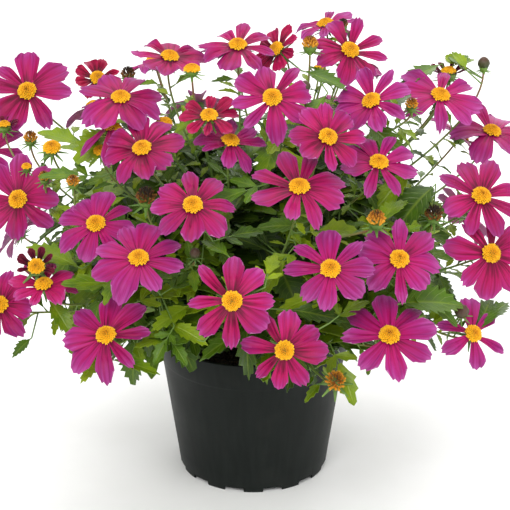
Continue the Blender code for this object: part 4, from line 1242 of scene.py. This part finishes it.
# Leaves that only the dress has, in the same way: low ones over the pot's rim and deep ones
MORE_LEAVES = (
    (-0.0620, -0.0500, 0.026, 200, 0.016, "toothed"),
    (-0.0560, -0.0560, 0.024, 250, 0.010, "lobed"),
    (-0.0500, -0.0480, 0.030, 170, 0.020, "lobed"),
    (-0.0460, -0.0570, 0.024, 290, 0.014, "lobed"),
    (-0.0520, -0.0370, 0.030, 230, 0.022, "toothed"),
    (-0.0385, -0.0480, 0.026, 320, 0.022, "toothed"),
    (-0.0540, -0.0120, 0.034, 200, 0.028, "lobed"),
    (-0.0385, -0.0120, 0.036, 60, 0.034, "lobed"),
    (0.0285, -0.0275, 0.036, 200, 0.030, "lobed"),
    (0.0100, -0.0060, 0.028, 75, 0.012, "lobed"),
    (-0.0060, 0.0150, 0.030, 30, 0.020, "lobed"),
    (0.0600, -0.0300, 0.028, 60, 0.016, "lobed"),
    (0.1120, -0.0260, 0.036, 15, 0.000, "broad"),
    (0.1420, -0.0330, 0.026, 75, 0.004, "broad"),
    (-0.0960, 0.0660, 0.034, 240, 0.020, "broad"),
    (0.0980, 0.0300, 0.034, 250, 0.010, "broad"),
    (-0.0870, -0.0180, 0.030, 260, 0.010, "lobed"),
    (0.1240, 0.1210, 0.019, 95, 0.012, "broad"),
    (0.1290, 0.1190, 0.014, 40, 0.014, "broad"),
    (0.1205, 0.1200, 0.013, 135, 0.014, "broad"),
)

# Blades of a leaf: where each starts along the midrib, degrees that it is turned, its length
# as a share of the leaf's, and its half outline from root to tip as shares of its own length
BLADE = (
    *((0, 0.02), (0.10, 0.06), (0.22, 0.15), (0.38, 0.205), (0.55, 0.19), (0.72, 0.14)),
    *((0.87, 0.07), (1, 0.006)),
)
LEAFLET = (
    *((0, 0.05), (0.15, 0.11), (0.38, 0.235), (0.55, 0.22), (0.75, 0.15), (0.9, 0.07)),
    (1, 0.01),
)
BROAD = (
    *((0, 0.08), (0.10, 0.20), (0.28, 0.31), (0.48, 0.33), (0.68, 0.27), (0.85, 0.16)),
    (1, 0.01),
)
BLADES = {
    "broad": ((0.12, 0, 0.88, BROAD, 17),),
    "tiny": ((0.10, 0, 0.90, BLADE, 9),),
    "toothed": ((0.10, 0, 0.90, BLADE, 14),),
    "lobed": (
        (0.38, 0, 0.62, LEAFLET, 9),
        (0.24, 50, 0.36, LEAFLET, 7),
        (0.24, -50, 0.36, LEAFLET, 7),
    ),
}


def leaf_frame(root, way, normal):
    """A frame at a leaf's root whose X is its way and whose Z is nearest the normal."""
    across = normal.cross(way).normalized()
    turn = Matrix((way, across, way.cross(across))).transposed().to_4x4()
    return Matrix.Translation(root) @ turn


def leaf_height(leaf, x, y):
    """Height of a leaf's arched and folded surface over a flat spot of it."""
    share = x / leaf["length"]
    return leaf["fold"] * abs(y) - leaf["arch"] * leaf["length"] * share * abs(share)


def add_leaf(store, leaf, rng):
    """Adds the blades of a leaf to a store, and returns the path of its leaf stalk."""
    length = leaf["length"]
    for start, degrees, share, outline, rows in BLADES[leaf["shape"]]:
        turn = math.radians(degrees + rng.uniform(-7, 7))
        way = Vector((math.cos(turn), math.sin(turn)))
        aside = Vector((-way.y, way.x))
        long = length * share * (rng.uniform(0.86, 1.0) if degrees else 1)
        grid = []
        for i in range(rows):
            along = i / (rows - 1)
            half = outline_at(outline, along) * long
            tooth = 0 < i < rows - 1 and i % 2
            row = []
            for v in LEAF_COLUMNS:
                reach = half * v
                forward = along
                if abs(v) == 1:
                    reach *= TOOTH_OUT if tooth else TOOTH_IN
                    forward += (0.055 if tooth else -0.02) * (0 < i < rows - 1)
                flat = Vector((start * length, 0)) + way * (forward * long) + aside * reach
                height = leaf_height(leaf, flat.x, flat.y)
                ripple = noise.noise(Vector((flat.x, flat.y, leaf["seed"])) * 110)
                height += LEAF_RIPPLE * ripple * abs(v) + LEAF_CREASE * abs(reach)
                row.append(leaf["frame"] @ Vector((flat.x, flat.y, height)))
            grid.append(row)
        add_grid(store, grid, leaf["tone"])
    far = (0.42 if leaf["shape"] == "lobed" else 0.14) * length
    ends = [Vector((x, 0, leaf_height(leaf, x, 0) - 0.0002)) for x in (0, far / 2, far)]
    line = [leaf["frame"] @ spot for spot in ends]
    if (line[0] - leaf["start"]).length > 0.0004:
        line.insert(0, leaf["start"])
    return tapered(line, LEAF_STALK_RADIUS * 1.2, LEAF_STALK_RADIUS * 0.6, 0.2, 0.2)


def view_leaf_ways(number, row):
    """A leaf of the view in each of the ways that it may lie, likeliest first."""
    across, up, length, heading, behind, shape = row
    rng = random.Random(100 + number)
    leaf = {"shape": shape, "length": length, "arch": rng.uniform(0.12, 0.28)}
    leaf |= {"fold": rng.uniform(0.15, 0.35), "seed": number}
    normal = facing(LEAF_LEAN + rng.uniform(-10, 10), rng.uniform(-15, 15))
    leaf["tone"] = rng.uniform(0.2, 0.85)
    for deeper in LEAF_DEPTHS:
        for turn in LEAF_TURNS:
            angle = math.radians(heading + turn)
            way = VIEW_RIGHT * math.cos(angle) + VIEW_UP * math.sin(angle)
            way = (way - normal * way.dot(normal)).normalized()
            root = seen_at(across, up, behind + deeper) - way * length * 0.6
            bearer, start = nearest_line(root - way * 0.012)
            lie = {"frame": leaf_frame(root, way, normal), "start": start, "stem": bearer}
            yield leaf | lie


def pair_leaf_ways(bearer, place):
    """A leaf on a stem or stalk in each of the ways that it may lie, likeliest first."""
    number = 50 * bearer + place
    rng = random.Random(1000 + number)
    leaf = {"length": PAIR_LENGTH * rng.uniform(0.8, 1.15), "seed": number}
    leaf |= {"shape": rng.choice(("lobed", "toothed")), "arch": rng.uniform(0.12, 0.30)}
    leaf |= {"fold": rng.uniform(0.15, 0.35), "tone": rng.uniform(0.15, 0.7)}
    if place < 2:
        line, share, first = stems[bearer]["laid"][0], PAIR_PLACE, 180 * place
    else:
        line, share, first = stems[bearer]["laid"][place - 1], STALK_LEAF_PLACE, 90 * place
    root, along = sharing(line, share)
    level = along.cross(Vector((0, 0, 1))).normalized()
    for turn in PAIR_TURNS:
        way = Matrix.Rotation(math.radians(first + turn), 3, along) @ level
        way = (way * 0.85 + along * 0.5).normalized()
        lie = leaf_frame(root, way, Vector((0, 0, 1)) - way * way.z)
        yield leaf | {"frame": lie, "start": nearest_line(root)[1]}


def borne(ways):
    """The way that a leaf lies in the solids, with the stem that bears it, or nothing."""
    for leaf in ways:
        places = leaf["length"] / 2, leaf["length"]
        midrib = [leaf["frame"] @ Vector((x, 0, leaf_height(leaf, x, 0))) for x in places]
        for number, stem in enumerate(stems):
            if off_by(stem["solid"], midrib) < SAME_LEAF:
                return leaf | {"stem": number}
    return None


leaves = [borne(view_leaf_ways(number, row)) for number, row in enumerate(LEAVES)]
for number, row in enumerate(MORE_LEAVES, len(LEAVES)):
    leaves.append(next(view_leaf_ways(number, row)))
for number, stem in enumerate(stems):
    for place in range(len(stem["laid"]) + 1):
        leaf = borne(pair_leaf_ways(number, place))
        if leaf:
            leaves.append(leaf)

# Smaller leaves fill the bush along every stem and stalk. Each is tried at a few turns, and
# grows only where it stays inside the bush, off the blooms and the pot, and hides no bloom.
FILL_SPACING = 0.0075
FILL_RADII = Vector((0.136, 0.126, 0.110))
SPRIG_RADII = DOME_RADII * 0.97
FILL_GAP = 0.0045
FILL_OFF_BLOOMS = 0.0022
FILL_OFF_POT = 0.003
FILL_SIGHT = 0.09
FILL_LENGTHS = 0.024, 0.046
SPRIG_LENGTHS = 0.008, 0.017
SPRIGS = 10
FILL_TRIES = 3
TINY_LEAF = 0.020
POT_RIM_BAND = 0.006

bloom_tree = surface_of(*(f"bloom_{number:02d}" for number in range(1, len(blooms) + 1)))


def leaf_spots(leaf):
    """A few spots over a leaf at which to test whether it is clear."""
    length = leaf["length"]
    flats = (0.3, 0), (0.65, 0), (1, 0), (0.5, 0.26), (0.5, -0.26), (0.8, 0.12), (0.8, -0.12)
    flats = [(x * length, y * length) for x, y in flats]
    return [leaf["frame"] @ Vector((x, y, leaf_height(leaf, x, y))) for x, y in flats]


def is_free(spot, radii):
    """Whether a spot lies inside the bush, off the blooms and pot, with no bloom behind."""
    if over(spot - DOME_CENTRE, radii).length > 1:
        return False
    floor = POT_HEIGHT if spot.xy.length > SOIL_EDGE - POT_RIM_BAND else SOIL_TOP
    if spot.z < floor + FILL_OFF_POT:
        return False
    if bloom_tree.find_nearest(spot, FILL_OFF_BLOOMS)[0]:
        return False
    sight = (spot - EYE).normalized()
    hit = bloom_tree.ray_cast(spot, sight, FILL_SIGHT)
    return hit[0] is None or hit[1].dot(TOWARDS_VIEWER) < 0.1


def fill_places():
    """Where leaves may fill the bush: stem, line, share of it, side, length and room."""
    for bearer, stem in enumerate(stems):
        for line in stem["drawn"]:
            count = int(sum((b - a).length for a, b in zip(line, line[1:])) / FILL_SPACING)
            for i in range(2, 2 * count):
                yield bearer, line, i // 2 / count, i % 2, FILL_LENGTHS, FILL_RADII
        for line in stem["drawn"][1:]:
            for i in range(SPRIGS):
                yield bearer, line, 0.4 + 0.05 * i, i % 2, SPRIG_LENGTHS, SPRIG_RADII


def cells(spots):
    """The small cubes of room that some spots fall in."""
    return {tuple(round(part / FILL_GAP) for part in spot) for spot in spots}


taken = cells(spot for leaf in leaves for spot in leaf_spots(leaf))
rng = random.Random(11)
for bearer, line, share, side, lengths, radii in fill_places():
    root, along = sharing(line, share)
    level = along.cross(Vector((0, 0, 1)))
    level = level.normalized() if level.length > 0.1 else VIEW_RIGHT
    # Painted shade: a filling leaf whose root lies nearer the middle of the bush gets a darker
    # tone, for the shade deep inside it
    depth = (root - DOME_CENTRE).length / FILL_RADII.x
    leaf = {"shape": rng.choice(("lobed", "toothed", "lobed", "broad")), "stem": bearer}
    leaf |= {"length": rng.uniform(*lengths), "arch": rng.uniform(0.1, 0.35)}
    if leaf["length"] < TINY_LEAF:
        leaf["shape"] = "tiny"
    leaf |= {"fold": rng.uniform(0.1, 0.4), "seed": rng.uniform(0, 90)}
    leaf |= {"start": root, "tone": rng.uniform(-0.3, 0.4) + 0.5 * depth}
    lift = rng.uniform(0.2, 0.7)
    for _ in range(FILL_TRIES):
        turn = math.radians(180 * side + rng.uniform(-50, 140))
        way = Matrix.Rotation(turn, 3, along) @ level
        way = (way + along * lift).normalized()
        up = Vector((0, 0, 1)) + TOWARDS_VIEWER * 0.2 + way.orthogonal() * 0.1
        normal = up - way * way.dot(up)
        if normal.length < 0.2:
            continue
        leaf["frame"] = leaf_frame(root + way * leaf["length"] * 0.15, way, normal.normalized())
        spots = leaf_spots(leaf)
        if taken.isdisjoint(cells(spots)) and all(is_free(spot, radii) for spot in spots):
            leaves.append(leaf)
            taken |= cells(spots)
            break

# Leaf skin: satin, from dark green to bright yellow-green as leaves differ, with painted shade
# that darkens the small filling leaves deep in the bush. A pale midrib and slanting side veins
# sink into it, and the back is duller and paler.


def leaf_skin(name, dark, green, bright, vein, roughness):
    """Leaf skin that runs from dark to bright with a leaf's tone."""
    made, tree, inputs = new_material(name, Roughness=roughness, Specular_IOR_Level=0.28)
    _, along, side = blade_places(tree)
    spot = add(tree, "ShaderNodeTexCoord", take="Object")
    tone = add(tree, "ShaderNodeAttribute", take="Fac", attribute_name="tone")
    rib = ranged(tree, side, 1.0, 0.0, 0.0, 0.13)
    slant = maths(tree, "MULTIPLY", side, 0.30)
    slant = maths(tree, "SUBTRACT", along, slant)
    slant = maths(tree, "MULTIPLY", slant, 7.0)
    wave = maths(tree, "PINGPONG", slant, 0.5)
    veins = ranged(tree, wave, 0.7, 0.0, 0.0, 0.09)
    veins = maths(tree, "MAXIMUM", rib, veins)
    patches = speckle(tree, spot, 140.0, 4.0)
    wander = ranged(tree, patches, -0.25, 0.25)
    run = maths(tree, "ADD", tone, wander)
    stops = (0.0, dark), (0.5, green), (1.0, bright)
    tint = ramp(tree, run, stops)
    shown = maths(tree, "MULTIPLY", veins, 0.32)
    tint = mixed(tree, shown, tint, colour(vein))
    cells = speckle(tree, spot, 900.0, 2.0)
    cells = maths(tree, "MULTIPLY", cells, 0.3)
    high = maths(tree, "SUBTRACT", cells, veins)
    finish_skin(tree, inputs, tint, high, 0.5, 0.0004)
    return made


leaf_face = leaf_skin("leaf_upper_skin", "#1A2E12", "#4A6A0C", "#94A80A", "#90A434", 0.38)
leaf_back = leaf_skin("leaf_under_skin", "#3A522A", "#5C762C", "#98A634", "#9CA860", 0.60)

for number, stem in enumerate(stems):
    store = new_store()
    rng = random.Random(300 + number)
    for leaf in leaves:
        if leaf["stem"] == number:
            stem_paths[number].append(add_leaf(store, leaf, rng))
    name = f"leaves_{number + 1:02d}"
    blades = link(thick_mesh(store, name, LEAF_THICKNESS, 50, leaf_face, leaf_back), name)
    tubes = link(tubes_mesh(stem_paths[number], 6, stem_skin), f"stems_{number + 1:02d}")
    for piece in (blades, tubes):
        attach(piece, "root")
        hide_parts(f"leafy_stem_{number + 1:02d}")

# The cups: each bloom and small head sits in a green cup with eight narrow bracts that
# spread under it. Cup and stalk are one growth, so a small cup still reaches its stalk.

CUP_DEPTH = 0.0062
CUP_HEAD_WIDTH = 0.011
CUP_OVERLAP = 0.0003
BRACTS = 8
BRACT_LENGTH = 0.0060
CUP_PROFILE = (
    *((0, -CUP_DEPTH), (0.0009, -CUP_DEPTH), (0.0020, -0.0054), (0.0034, -0.0040)),
    *((0.0043, -0.0022), (0.0044, -0.0010), (0.0, -0.0009)),
)


def cup_mesh():
    """A cup that faces +Z with its bracts, as a mesh."""
    bm = bmesh.new()
    bm.from_mesh(turned(CUP_PROFILE, 10))
    for i in range(BRACTS):
        turn = Matrix.Rotation(math.tau * i / BRACTS, 4, "Z")
        tilt = Matrix.Rotation(math.radians(100), 4, "Y")
        shape = Matrix.Diagonal((0.35, 1.0, 1.0, 1))
        move = Matrix.Translation((0.0062, 0, -0.0048))
        bmesh.ops.create_cone(
            bm,
            cap_ends=True,
            segments=6,
            radius1=0.0010,
            radius2=0.0003,
            depth=BRACT_LENGTH,
            matrix=turn @ move @ tilt @ shape,
        )
    return smooth(mesh_of(bm, "cup"), 50)


# Cup skin: satin, in patches of dark and mid green of 8 mm, with a grain of 0.9 mm
stops = (0.3, "#3F5F26"), (0.7, "#6C8C3A")
relief = 1100.0, 2.0, 0.4, 0.0003
cup_skin = plain_skin("green_cup", stops, (130.0, 4.0), relief, Roughness=0.5, IOR=1.42)


def joined(meshes, name):
    """Several meshes as one. They keep their places, and take one material."""
    bm = bmesh.new()
    for mesh in meshes:
        bm.from_mesh(mesh)
    made = bpy.data.meshes.new(name)
    bm.to_mesh(made)
    bm.free()
    return made


CUP = cup_mesh()
for number in range(len(stems)):
    cups = []
    for owner, item in zip(stalk_owners, blooms + heads):
        if owner == number:
            size = 1 if len(item) == 6 else item[2] / CUP_HEAD_WIDTH
            length = max(size, (CALYX_HEIGHT + CUP_OVERLAP) / CUP_DEPTH)
            copy = CUP.copy()
            copy.transform(item[0] @ Matrix.Diagonal((size, size, length, 1)))
            cups.append(copy)
    piece = link(joined(cups, f"cups_{number + 1:02d}"), f"cups_{number + 1:02d}", cup_skin)
    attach(piece, "root")
    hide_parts(f"leafy_stem_{number + 1:02d}")

# The small heads: olive buds with ribs, openings with narrow maroon petals, golden discs
# that have dropped their petals, and spent heads dried to orange-brown or dark tufts.


def bud_mesh():
    """A bud of width 1 that faces +Z, with eight ribs and a tone that runs up it."""
    profile = (0, -0.45), (0.25, -0.42), (0.42, -0.25), (0.5, 0.0), (0.44, 0.28), (0.27, 0.5)
    made = turned((*profile, (0.10, 0.60), (0, 0.62)), 24)
    for vertex in made.vertices:
        turn = math.atan2(vertex.co.y, vertex.co.x)
        rib = 1 + 0.07 * math.cos(8 * turn) * (vertex.co.z < 0.55)
        vertex.co.x *= rib
        vertex.co.y *= rib
    tones = [vertex.co.z / 1.1 + 0.45 for vertex in made.vertices]
    made.attributes.new("tone", "FLOAT", "POINT").data.foreach_set("value", tones)
    return smooth(made, 60)


# Bud skin: satin bracts, dark olive and brown towards the tip, in patches of 2.5 mm
stops = (0.2, "#303E1A"), (0.6, "#403C20"), (0.85, "#4C3426")
patches = 400.0, 3.0
look = {"sway": 0.2, "Roughness": 0.45, "IOR": 1.42}
bud_skin = plain_skin("dark_olive_bud", stops, patches, (*patches, 0.4, 0.0003), **look)

# Dried florets: dull and papery, orange where they are fresh and brown where they have
# withered, in flecks of 0.8 mm
stops = (0.0, "#2C2014"), (0.3, "#6E4212"), (0.5, "#A0641A"), (0.8, "#CE8C1E"), (1.0, "#E4AC30")
flecks = 1200.0, 3.0
relief = *flecks, 0.7, 0.0004
florets_dry = plain_skin("dried_florets", stops, flecks, relief, sway=0.7, Roughness=0.8)

spike = floret_shape(0.55, 0.15)
spike.data.transform(Matrix.Diagonal((1, 1, 1.9, 1)))
values = {"Floret": spike, "Count": 46, "Radius": 0.0046, "Height": 0.0052}
SPENT = disc_mesh("spent", Size=0.00092, Seed=9, Finish=florets_dry, **values)
bpy.data.objects.remove(spike)
BURR_SHADE = 0.55
BURR = SPENT.copy()
for item in BURR.attributes["tone"].data:
    item.value -= BURR_SHADE
BUD = bud_mesh()

# An opening's petals fan out over its upper side: width, number, degrees that they cup,
# shade and how slim they are. The widths that each kind of head is modelled at follow.
UPPER_FAN = math.radians(250)
UPRIGHT_PETALS = 0.0285, 6, 34, 0.3, 0.78
OPENING_WIDTH = 0.016
OPENING_DISC_WIDTH = 0.0165
OPENING_DISC_LIFT = 0.0004
DISC_WIDTH = 0.0124
SPENT_WIDTH = 0.0100

for number, (place, _, width, kind) in enumerate(heads, 1):
    name = f"{kind}_head_{number:02d}"
    if kind == "opening":
        store = new_store()
        seat = Matrix.Translation((0, 0, -0.0006)) @ Matrix.Scale(width / OPENING_WIDTH, 4)
        seat @= Matrix.Rotation(-UPPER_FAN / 2, 4, "Z")
        add_rays(store, 500 + number, place @ seat, *UPRIGHT_PETALS, UPPER_FAN)
        piece = link(thick_mesh(store, name, PETAL_THICKNESS, 60, *petal_skins["maroon"]), name)
        size = width / OPENING_DISC_WIDTH
        mesh = seated(disc_meshes[number % DISC_VARIANTS], place, OPENING_DISC_LIFT, size)
        heart = link(mesh, f"opening_florets_{number:02d}")
        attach(heart, "root")
        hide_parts(f"leafy_stem_{stalk_owners[len(blooms) + number - 1] + 1:02d}")
    else:
        shape, size, low = {
            "bud": (BUD, width, 0.1 * width),
            "disc": (disc_meshes[number % DISC_VARIANTS], width / DISC_WIDTH, -0.0004),
            "spent": (SPENT, width / SPENT_WIDTH, 0.0),
            "burr": (BURR, width / SPENT_WIDTH, 0.0),
        }[kind]
        mesh = seated(shape, place, low, size)
        piece = link(mesh, name, *([bud_skin] if kind == "bud" else []))
    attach(piece, "root")
    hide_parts(f"leafy_stem_{stalk_owners[len(blooms) + number - 1] + 1:02d}")
    {"opening": "petal_red", "bud": "foliage"}.get(kind, "floret")

boxes = {"cad": cad_box, "visual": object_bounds()}
sizes = {name: [list(corner) for corner in box] for name, box in boxes.items()}
